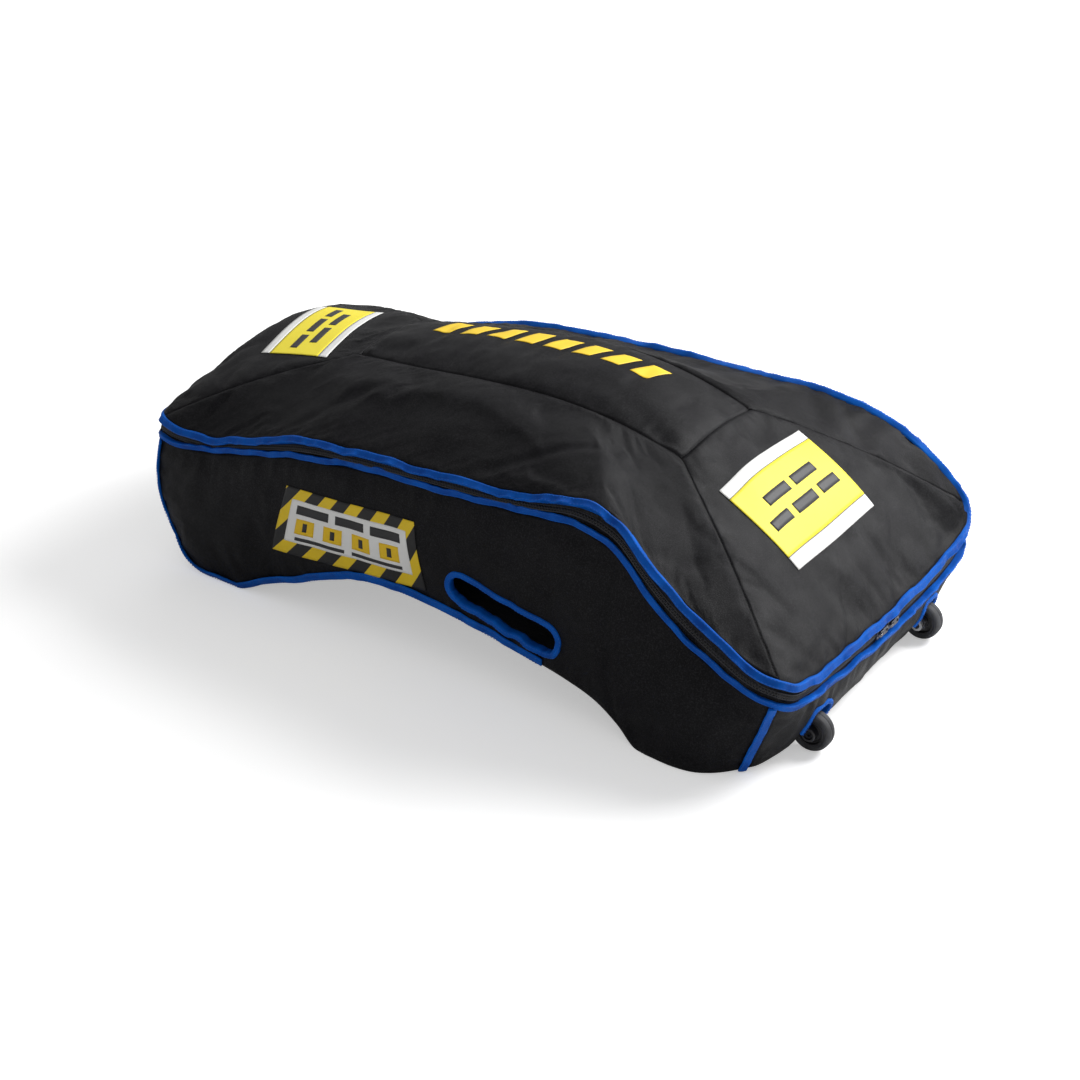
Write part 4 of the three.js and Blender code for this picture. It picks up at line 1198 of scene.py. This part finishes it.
# ---------- seams ----------
def make_seam_stitches():
    """Black lock stitches sunk in the lid's seams."""
    t = np.linspace(0.004, 0.996, 240)
    lines = {name: seam[name](t) for name in ("right", "left", "wheel", "far")}
    for side in SIDES:
        for end, u in (("wheel", 1.0), ("far", 0.0)):
            lines[f"{side}_{end}_hip"] = surfaces[f"lid_{side}_panel"](0 * t + u, t * 0.985)
    for name, line in lines.items():
        out = from_core(line)
        sunk = line - out * (SEAM_GROOVE[0] + 0.1 * MM)
        stitches(f"lid_{name}_seam_stitches", sunk, out, "lid", SEAM_THREAD, False, 4.2 * MM, 3.2 * MM)


# ---------- zip ----------
TAPE_IN, TAPE_THICK = 3.5 * MM, 2 * MM
COIL_IN = 2.4 * MM
TOOTH_PITCH = 2.0 * MM
TOOTH = (4.6 * MM, 2.1 * MM, 2.3 * MM)  # across the zip, along it, and outward
CORD_PLACE = 2.99 * MM  # from the zip's middle to the cord beside its teeth


def zip_route(edges, t):
    """The open edge from the far right corner round the wheel end to the far left corner. t is 0 to 3."""
    part = np.clip(t, 0, 3)
    legs = [edges["right"](part), edges["wheel"](part - 1), edges["left"](3 - part)]
    step = np.minimum(part.astype(int), 2)
    return np.choose(step[:, None], legs)


def zip_lines(count=1300):
    t = np.linspace(0.002, 2.998, count)
    low = zip_route(lid_edge, t) - (HALF_BINDING - 1 * MM) * Z
    high = zip_route(tub_edge, t) + (HALF_BINDING - 1 * MM) * Z
    middle = (low + high) / 2
    even = evenly(middle, TOOTH_PITCH)
    pick = np.interp(run(even) / run(even)[-1], run(middle) / run(middle)[-1], np.arange(count))
    lines = []
    for row in (low, high, middle):
        sampled = np.stack([np.interp(pick, np.arange(count), row[:, k]) for k in range(3)], axis=-1)
        lines.append(softened(sampled, 4, False))
    return lines


def make_zip():
    low, high, middle = zip_lines()
    ahead, out, across = frames(middle, from_core(middle), False)
    sag = (field(run(middle)[:, None], 120 * MM) * 0.5 * MM)[:, None] * out
    for body, edge, sign in (("lid", low, 1), ("tub", high, -1)):
        rows = np.linspace(0, 1, 7)[None, :, None]
        inner_edge = middle + sign * across * (0.9 * MM)
        grid = edge[:, None] * (1 - rows) + inner_edge[:, None] * rows
        face = from_core(grid)
        dip = np.sin(np.pi * rows) * 0.6 * MM
        outer = grid - face * (TAPE_IN + dip) + sag[:, None]
        vertices, faces, _, uv = shell_mesh(outer, outer - face * TAPE_THICK * 0.6)
        material, slot = ZIP_TAPE
        replaced = [f"{body}_zip_tape"]
        publish(f"{body}_zip_tape_cloth", vertices, faces, body, [material], slot, uv, replaces=replaced)
        teeth = slice(0 if sign > 0 else 1, len(middle), 2)
        centres = middle[teeth] + across[teeth] * sign * 0.75 * MM - out[teeth] * (COIL_IN + 0.2 * MM)
        axes = (across[teeth], ahead[teeth], out[teeth])
        beads(f"{body}_zip_teeth", centres, axes, TOOTH, body, COIL, [f"{body}_zip_coil"])
        cord = middle + across * sign * CORD_PLACE - out * (COIL_IN + 0.5 * MM)
        tape(f"{body}_zip_cord", cord, from_core(cord), circle(8, 1.0 * MM), False, body, COIL)
        seam_line = edge * 0.72 + inner_edge * 0.28 - from_core(edge) * (TAPE_IN - 0.2 * MM)
        stitches(f"{body}_zip_tape_stitches", seam_line + sag, from_core(edge), body, WEB_THREAD)


def make_hinge_strip():
    """Webbing that joins lid and tub at the far end."""
    t = np.linspace(0.012, 0.988, 120)
    rows = np.linspace(0, 1, 15)[None, :, None]
    high = (lid_edge["far"](t) - (HALF_BINDING - 1.5 * MM) * Z)[:, None]
    low = (tub_edge["far"](t) + (HALF_BINDING - 1.5 * MM) * Z)[:, None]
    grid = high * (1 - rows) + low * rows
    out = from_core(grid)
    outer = grid - out * (1.0 * MM) + out * (field(grid, 60 * MM) * 0.4 * MM)[..., None]
    vertices, faces, _, uv = shell_mesh(outer, outer - out * 1.8 * MM)
    material, slot = WEBBING
    webbing = publish("lid_hinge_webbing", vertices, faces, None, [material], slot, uv,
                      replaces=["lid_hinge_strip"])
    x, _, top = (float(k) for k in lid_edge["far"](0.5))
    bottom = float(tub_edge["far"](0.5)[2])
    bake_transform(webbing)


# ---------- printed patches ----------
def quad_corners(node, axes):
    """The four corners of a CAD patch seen along one axis, in turn."""
    points = np.array([v.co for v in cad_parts[node].data.vertices])[:, axes]
    return [points[(points @ np.array(d)).argmax()] for d in ((-1, -1), (1, -1), (1, 1), (-1, 1))]


def patch_builder(corners, panel_name, axes, start, direction):
    """Returns a function that lays a rectangle of the patch on its panel, as a thin closed sheet."""
    a, b, c, d = (np.array(p, float) for p in corners)
    wide = np.linalg.norm(b - a)
    tall = np.linalg.norm(d - a)

    def lay(s0, s1, t0, t1, lift, slant=0.0, thick=0.25 * MM):
        columns = max(2, round((s1 - s0) * wide / (3.5 * MM)) + 1)
        rows = max(2, round((t1 - t0) * tall / (3.5 * MM)) + 1)
        outer = np.zeros((columns, rows, 3))
        facing = np.zeros((columns, rows, 3))
        flat = np.zeros((columns, rows, 2))
        for i, s in enumerate(np.linspace(s0, s1, columns)):
            for j, t in enumerate(np.linspace(t0, t1, rows)):
                q = s + slant * (t - t0) * tall / wide
                p = (a * (1 - q) + b * q) * (1 - t) + (d * (1 - q) + c * q) * t
                origin = np.array(start, float)
                origin[axes] = p
                outer[i, j], facing[i, j] = drop(panel_name, origin, direction)
                flat[i, j] = (s * wide, t * tall)
        outer = outer + facing * lift
        vertices, faces, _, _ = shell_mesh(outer, outer - facing * thick)
        uv = np.concatenate([flat.reshape(-1, 2)] * 2)
        return vertices, faces, uv

    return lay


def gathered(name, parts, body, materials, replaces=()):
    """Several sheets in one piece. parts holds (vertices, faces, uv) and a material's place."""
    vertices, faces, uvs, skin_of, offset = [], [], [], [], 0
    for (v, f, uv), skin in parts:
        vertices.append(v)
        faces += (np.asarray(f) + offset).tolist()
        uvs.append(uv)
        skin_of += [skin] * len(f)
        offset += len(v)
    vertices, uv = np.concatenate(vertices), np.concatenate(uvs)
    publish(name, vertices, faces, body, materials, "printed_label", uv, skin_of, replaces)


LABEL_LIFT = 0.9 * MM
LAYER = 0.22 * MM
END_BARS = (
    # Each row of bars on an end label: its span one way, and the bars' spans the other way.
    (0.33, 0.44, ((0.20, 0.47), (0.53, 0.80))),
    (0.54, 0.65, ((0.09, 0.30), (0.36, 0.62), (0.68, 0.90))),
)


def make_end_label(name, node, panel_name, turned):
    """A yellow patch with a white band at each end, and two rows of plain dark bars."""
    lay = patch_builder(quad_corners(node, [0, 1]), panel_name, [0, 1], (0, 0, 1.0), (0, 0, -1))
    bands = ((0, 0.125, 0), (0.131, 0.869, 1), (0.875, 1, 0), (0.125, 0.131, 2), (0.869, 0.875, 2))
    parts = [(lay(s0, s1, 0, 1, LABEL_LIFT), skin) for s0, s1, skin in bands]
    for s0, s1, bars in END_BARS:
        for t0, t1 in bars:
            spot = (1 - s1, 1 - s0, 1 - t1, 1 - t0) if turned else (s0, s1, t0, t1)
            parts.append((lay(*spot, LABEL_LIFT + LAYER), 2))
    gathered(name, parts, "lid", [WHITE, YELLOW, INK], [node])


def make_side_label():
    """A striped patch with a white field, four amber squares and plain dark bars."""
    corners = quad_corners("side_label", [0, 2])
    lay = patch_builder(corners, "tub_right_panel", [0, 2], (0, -1.0, 0), (0, 1, 0))
    parts = [(lay(0, 1, 0, 1, LABEL_LIFT), 0), (lay(0.07, 0.93, 0.2, 0.84, LABEL_LIFT + LAYER), 1)]
    for k in range(4):
        s = 0.13 + 0.2 * k
        parts.append((lay(s, s + 0.13, 0.34, 0.57, LABEL_LIFT + 2 * LAYER), 2))
        parts.append((lay(s + 0.05, s + 0.08, 0.39, 0.52, LABEL_LIFT + 3 * LAYER), 3))
    upper = [(s0, s1, 0.64, 0.77) for s0, s1 in ((0.12, 0.36), (0.41, 0.62), (0.67, 0.88))]
    lower = [(s0, s1, 0.24, 0.29) for s0, s1 in ((0.14, 0.48), (0.53, 0.87))]
    for spot in upper + lower:
        parts.append((lay(*spot, LABEL_LIFT + 2 * LAYER), 3))
    gathered("side_label_print", parts, "tub", [STRIPES, WHITE, AMBER, INK], ["side_label"])


BLOCKS = 8


def make_gold_blocks():
    """A plain row of slanted gold blocks along the lid's crest."""
    low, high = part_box("lid_top_panel")
    x0, x1 = low.x + 0.13 * (high.x - low.x), low.x + 0.83 * (high.x - low.x)
    corners = [(x0, 4 * MM), (x1, 4 * MM), (x1, 44 * MM), (x0, 44 * MM)]
    lay = patch_builder(corners, "lid_top_panel", [0, 1], (0, 0, 1.0), (0, 0, -1))
    starts = np.arange(BLOCKS) / BLOCKS
    parts = [(lay(s, s + 0.62 / BLOCKS, 0, 1, 0.5 * MM, slant=0.28), 0) for s in starts]
    gathered("lid_gold_blocks", parts, "lid", [GOLD])


# ---------- turned parts ----------
def turned(name, profile, centre, body, look, node, segments=96, sign=1):
    """A part turned about the Y axis through centre. Its closed profile has (radius, y) points in mm."""
    material, slot = look
    points = np.array(profile, float) * MM
    turn = 2 * np.pi * np.arange(segments) / segments
    r, y = points[:, 0], points[:, 1] * sign
    places = np.outer(np.cos(turn), r), np.tile(y, (segments, 1)), np.outer(np.sin(turn), r)
    rings = np.stack(places, axis=-1)
    vertices = (rings + np.array(centre)).reshape(-1, 3)
    m = len(points)
    off_axis = [j for j in range(m) if max(r[j], r[(j + 1) % m]) > 1e-7]
    faces = np.concatenate([strip(segments, m, j, True) for j in off_axis]).tolist()
    uv = np.stack([np.repeat(turn * r.max(), m), np.tile(run(np.c_[points, 0 * r]), segments)], axis=-1)
    clean(publish(name, vertices, flip_if_inside_out(vertices, faces), body, [material], slot, uv,
                  replaces=[node]))


def clean(piece):
    """Joins points that coincide, as on a turned part's axis."""
    b = bmesh.new()
    b.from_mesh(piece.data)
    bmesh.ops.remove_doubles(b, verts=b.verts, dist=1e-6)
    bmesh.ops.dissolve_degenerate(b, edges=b.edges, dist=1e-7)
    b.to_mesh(piece.data)
    b.free()


def rounded(profile, radius=0.7, steps=3):
    """A turned part's profile with its corners rounded, in mm."""
    points = [np.array(p, float) for p in profile]
    out = []
    for k, p in enumerate(points):
        before, after = points[k - 1], points[(k + 1) % len(points)]
        if p[0] < 1e-6:
            out.append(p)
            continue
        reach_a = min(radius, np.linalg.norm(before - p) * 0.45)
        reach_b = min(radius, np.linalg.norm(after - p) * 0.45)
        a = p + unit(before - p) * reach_a
        b = p + unit(after - p) * reach_b
        for t in np.linspace(0, 1, steps + 1):
            out.append(a * (1 - t) ** 2 + 2 * p * t * (1 - t) + b * t**2)
    return out


def make_wheels():
    """Tyre, hub, bush and bolt of each wheel. Each profile starts on the side that faces the bolt's head."""
    for side, sign in zip(SIDES, (1, -1)):
        low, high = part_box(f"wheel_tyre_{side}")
        centre = (low + high) / 2
        body = f"wheel_{side}"
        radius = (high.z - low.z) / 2 / MM
        half = (high.y - low.y) / 2 / MM
        face = [(17.2, -half + 1.2), (19.5, -half + 0.6), (20.3, -half), (21.2, -half + 0.5), (22.2, -half)]
        tread = [(radius - 1.6, -half + 1.0), (radius - 0.4, -half + 3.2), (radius, -half + 6)]
        groove = [(radius, -1.2), (radius - 0.5, -0.6)]
        tyre = face + tread + groove
        tyre += [(r, -y) for r, y in tyre[::-1]]
        hub = [(6.15, -half - 4.6), (8.4, -half - 4.8), (9.4, -half - 4.0), (9.6, -half + 1.0)]
        hub += [(10.2, -half + 4.6), (12.2, -half + 4.6), (12.6, -half + 3.9), (13.4, -half + 3.9)]
        hub += [(13.8, -half + 4.6), (15.0, -half + 4.4), (15.4, -half + 1.4), (17.0, -half + 1.3)]
        hub += [(17.1, half - 1.3), (15.4, half - 1.4), (15.0, half - 4.4), (10.4, half - 4.6)]
        hub += [(10.0, half - 1.0), (6.15, half - 1.0)]
        bush = [(4.1, -9.4), (6.0, -9.4), (6.0, 9.4), (4.1, 9.4)]
        bolt = [(0, -11.2), (2.2, -11.2), (2.3, -13.0), (4.8, -13.2), (5.7, -12.5), (5.7, -10.2)]
        bolt += [(4.0, -10.1), (4.0, 21.3), (0, 21.3)]
        for name, profile, corner, rides, look, node, segments in (
            (f"wheel_tyre_{side}_rubber", tyre, 0.6, body, TYRE, f"wheel_tyre_{side}", 96),
            (f"wheel_hub_{side}_disc", hub, 0.5, body, HUB, f"wheel_hub_{side}", 96),
            (f"wheel_bush_{side}_sleeve", bush, 0.3, body, SLEEVE, f"wheel_bush_{side}", 48),
            (f"axle_bolt_{side}_turned", bolt, 0.35, "tub", BOLT, f"axle_bolt_{side}", 48),
        ):
            turned(name, rounded(profile, corner), centre, rides, look, node, segments, sign)


# ---------- zip sliders ----------
FACING_OUT = Matrix(((0, 0, 1, 0), (1, 0, 0, 0), (0, 1, 0, 0), (0, 0, 0, 1)))  # a flat part seen from +X


def plate(name, outlines, thick, bevel, matrix, body, replaces=()):
    """A flat metal part with rounded edges, from an outline and its holes in mm, placed by a matrix."""
    material, slot = SLIDER
    curve = bpy.data.curves.new(name, "CURVE")
    curve.dimensions = "2D"
    curve.fill_mode = "BOTH"
    curve.extrude = thick / 2 - bevel
    curve.bevel_depth = bevel
    curve.bevel_resolution = 2
    for outline in outlines:
        spline = curve.splines.new("POLY")
        spline.points.add(len(outline) - 1)
        for point, (x, y) in zip(spline.points, outline):
            point.co = (x * MM, y * MM, 0, 1)
        spline.use_cyclic_u = True
    holder = show(name + "_outline", curve)
    mesh = bpy.data.meshes.new_from_object(evaluated(holder))
    bpy.data.objects.remove(holder)
    mesh.transform(matrix)
    mesh.materials.clear()
    mesh.materials.append(material)
    mesh.name = name
    made = show(name, mesh)
    clean(made)
    attach(made, body, slot, replaces)


def make_sliders():
    wing = arc(-4.6, 3.1, 1.6, 90, 180, 6) + arc(-4.6, -3.1, 1.6, 180, 270, 6)
    wing += [(0, -5.0)] + arc(4.6, -3.4, 1.5, 270, 360, 6) + arc(4.6, 3.4, 1.5, 0, 90, 6) + [(0, 5.0)]
    flange = [(-5.2, -0.8), (5.2, -0.8), (5.6, 0), (5.2, 0.8), (-5.2, 0.8), (-5.6, 0)]
    section = np.array([(1.5, -0.5), (1.5, 0.35), (1.1, 0.6), (-1.1, 0.6), (-1.5, 0.35), (-1.5, -0.5)]) * MM
    turn = np.radians(np.linspace(0, 180, 19))
    arch = np.stack([1.6 * MM + np.sin(turn) ** 0.8 * 3.6 * MM, -np.cos(turn) * 4.3 * MM, 0 * turn], axis=-1)
    for side in SIDES:
        body = f"zip_slider_{side}"
        low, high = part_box(body)
        centre = Vector((low.x, (low.y + high.y) / 2, (low.z + high.z) / 2))
        face = Matrix.Translation(centre + Vector((1.0 * MM, 0, 0))) @ FACING_OUT
        plate(f"{body}_top", [wing], 1.9 * MM, 0.45 * MM, face, body, [body])
        bridge = np.array(centre) + arch
        tape(f"{body}_bridge", bridge, unit(arch), section, False, body, SLIDER)
        for edge, z in (("upper", 4.3), ("lower", -4.3)):
            sunk = Matrix.Translation(Vector((-0.2 * MM, 0, z * MM))) @ face
            plate(f"{body}_{edge}_flange", [flange], 1.6 * MM, 0.3 * MM, sunk, body)


def make_pulls():
    """Each pull: a tag that hangs from the slider's bridge by its eye, with a ring through its hole."""
    tag = [(-0.8, -2.6)] + arc(0.9, -2.1, 1.7, 200, 270, 6) + [(6.5, -3.6), (9.0, -4.1)]
    tag += arc(16.0, 0, 4.3, -82, 82, 22) + [(9.0, 4.1), (6.5, 3.6)]
    tag += arc(0.9, 2.1, 1.7, 90, 160, 6) + [(-0.8, 2.6)]
    eye = [(1.0, -2.3), (1.0, 2.3), (6.2, 2.3), (6.6, 1.9), (6.6, -1.9), (6.2, -2.3)]
    hole = arc(15.8, 0, 2.1, 0, 360, 25)[:-1]
    ring = circle(28, 2.9 * MM)
    section = circle(7, 0.42 * MM)
    for side in SIDES:
        body = f"zip_pull_{side}"
        low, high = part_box(body)
        x, z = (low.x + high.x) / 2, (low.z + high.z) / 2
        hung = Matrix.Translation(Vector((x, low.y + 0.8 * MM, z))) @ FACING_OUT
        plate(f"{body}_tag", [tag, eye[::-1], hole[::-1]], 1.5 * MM, 0.35 * MM, hung, body, [body])
        path = np.c_[np.zeros(28), ring] + np.array([x + 0.75 * MM, low.y + 16.6 * MM, z])
        tape(f"{body}_ring", path, np.tile([1.0, 0, 0], (28, 1)), section, True, body, SLIDER)


# ---------- handle ----------
def make_handle():
    low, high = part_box("grab_handle")
    z = (low.z + high.z) / 2
    reach = (high.y - low.y) / 2
    t = np.linspace(0, 1, 121)
    y = (2 * t - 1) * reach
    wall = np.array([drop("tub_far_end_panel", (-1.0, float(k), z), (1, 0, 0))[0][0] for k in y])
    lift = np.clip(np.cos(np.pi / 2 * (2 * t - 1)), 0, 1) ** 0.5
    x = wall - 1.5 * MM + (low.x + 2 * MM - wall) * lift
    path = softened(np.stack([x, y, 0 * y + z], axis=-1), 3, False)
    outward = np.tile([-1.0, 0, 0], (len(path), 1))
    half = (high.z - low.z) / 2
    section = np.array([(-half, 0), (-half + 0.6 * MM, 1.2 * MM), (half - 0.6 * MM, 1.2 * MM), (half, 0),
                        (half - 0.6 * MM, -1.0 * MM), (-half + 0.6 * MM, -1.0 * MM)])
    grip = 1 + 0.9 * np.exp(-(((t - 0.5) / 0.2) ** 6))
    narrow = 1 - 0.25 * np.exp(-(((t - 0.5) / 0.2) ** 6))
    profile = section[None] * np.stack([narrow, grip], axis=-1)[:, None]
    tape("grab_handle_webbing", path, outward, profile, False, "tub", WEBBING, ["grab_handle"])
    _, out, across = frames(path, outward, False)
    for row, side in (("upper", 1), ("lower", -1)):
        line = path + across * side * (half - 3 * MM) * narrow[:, None] + out * (1.3 * MM * grip)[:, None]
        stitches(f"grab_handle_{row}_stitches", line[2:-2], outward[2:-2], "tub", WEB_THREAD)
    for name, span in (("right", slice(2, 14)), ("left", slice(-14, -2))):
        p, o, c = path[span], out[span], across[span]
        ramp_up = np.linspace(-1, 1, len(p))[:, None]
        for leg_name, tilt in (("rising", 1), ("falling", -1)):
            line = p + c * ramp_up * tilt * (half - 4 * MM) + o * 1.35 * MM
            stitches(f"grab_handle_{name}_{leg_name}_cross", line, o, "tub", WEB_THREAD)


# ---------- carried-over CAD pieces ----------
def dress_cad(prefixes, material, bevel=0.5 * MM):
    for name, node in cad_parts.items():
        if any(name.startswith(p) for p in prefixes):
            node.data.materials.clear()
            node.data.materials.append(material)
            soften = node.modifiers.new("soft_edges", "BEVEL")
            soften.width, soften.segments, soften.limit_method = bevel, 2, "ANGLE"
            soften.angle_limit = math.radians(35)


# ---------- stage ----------
FILL = 0.40  # how strongly the white surroundings light the case
GLOW = (0.42, 0.5)  # what the camera sees the floor give off by itself, and how much more further out
LIGHTS = (
    # name, place, size in metres, power in watts
    ("key", (1.3, 1.6, 1.8), 1.5, 95),
    ("rim", (-1.2, 1.8, 1.9), 1.6, 6),
)
CAMERA = (1.3301, -2.0166, 1.3575)
AZIMUTH, ELEVATION = math.radians(33.60), math.radians(28.08)  # where the camera stands, seen from the case
SENSOR, LENS = 36.0, 69.17  # in mm


def seen_by_camera(tree):
    return tree.nodes.new("ShaderNodeLightPath").outputs["Is Camera Ray"]


def make_stage():
    bpy.ops.mesh.primitive_plane_add(size=40, location=(0, 0, 0))
    floor = bpy.context.object
    floor.name = "floor"
    material, tree, shader = new_material("pale_floor")
    reach = add(tree, "VectorMath", {"operation": "LENGTH"}, i0=place(tree)).node.outputs["Value"]
    outer = ramp(tree, maths(tree, "MULTIPLY", reach, 0.25), 0.3, 0.9)
    glow = maths(tree, "ADD", GLOW[0], maths(tree, "MULTIPLY", outer, GLOW[1]))
    feed(tree, shader, Base_Color=(0.9, 0.9, 0.9, 1), Roughness=0.9, Emission_Color=(1, 1, 1, 1),
         Emission_Strength=maths(tree, "MULTIPLY", seen_by_camera(tree), glow))
    floor.data.materials.append(material)
    world = bpy.data.worlds.new("studio")
    bpy.context.scene.world = world
    world.use_nodes = True
    tree = world.node_tree
    strength = maths(tree, "ADD", FILL, maths(tree, "MULTIPLY", seen_by_camera(tree), 1.0 - FILL))
    feed(tree, tree.nodes["Background"], Color=(1, 1, 1, 1), Strength=strength)
    for name, place_at, size, power in LIGHTS:
        light = bpy.data.lights.new(name, "AREA")
        light.energy, light.size = power, size
        lamp = show(name, light)
        lamp.location = place_at
        lamp.rotation_euler = (-Vector(place_at)).to_track_quat("-Z", "Y").to_euler()
    bpy.context.scene.view_settings.view_transform = "Standard"


def make_camera():
    camera = bpy.data.cameras.new("camera")
    camera.sensor_width, camera.lens = SENSOR, LENS
    holder = show("camera", camera)
    holder.location = CAMERA
    level = math.cos(ELEVATION)
    back = Vector((math.sin(AZIMUTH) * level, -math.cos(AZIMUTH) * level, math.sin(ELEVATION)))
    holder.rotation_euler = back.to_track_quat("Z", "Y").to_euler()
    bpy.context.scene.camera = holder


make_panels()
make_base()
make_edge_binding("lid", lid_edge, 1)
make_edge_binding("tub", tub_edge, -1)
make_wall_bindings()
make_slot_bindings()
make_cutout_bindings()
make_inner_seams()
make_seam_stitches()
make_zip()
make_hinge_strip()
make_end_label("wheel_end_label_print", "wheel_end_label", "lid_wheel_end_panel", False)
make_end_label("far_end_label_print", "far_end_label", "lid_far_end_panel", True)
make_side_label()
make_gold_blocks()
make_wheels()
make_sliders()
make_pulls()
make_handle()
dress_cad(["wheel_bracket"], PLASTIC)
dress_cad(["axle_nut", "bracket_screw"], STEEL, 0.4 * MM)
dress_cad(["wheel_end_board", "far_end_board"], BOARD, 0.8 * MM)
make_stage()
make_camera()
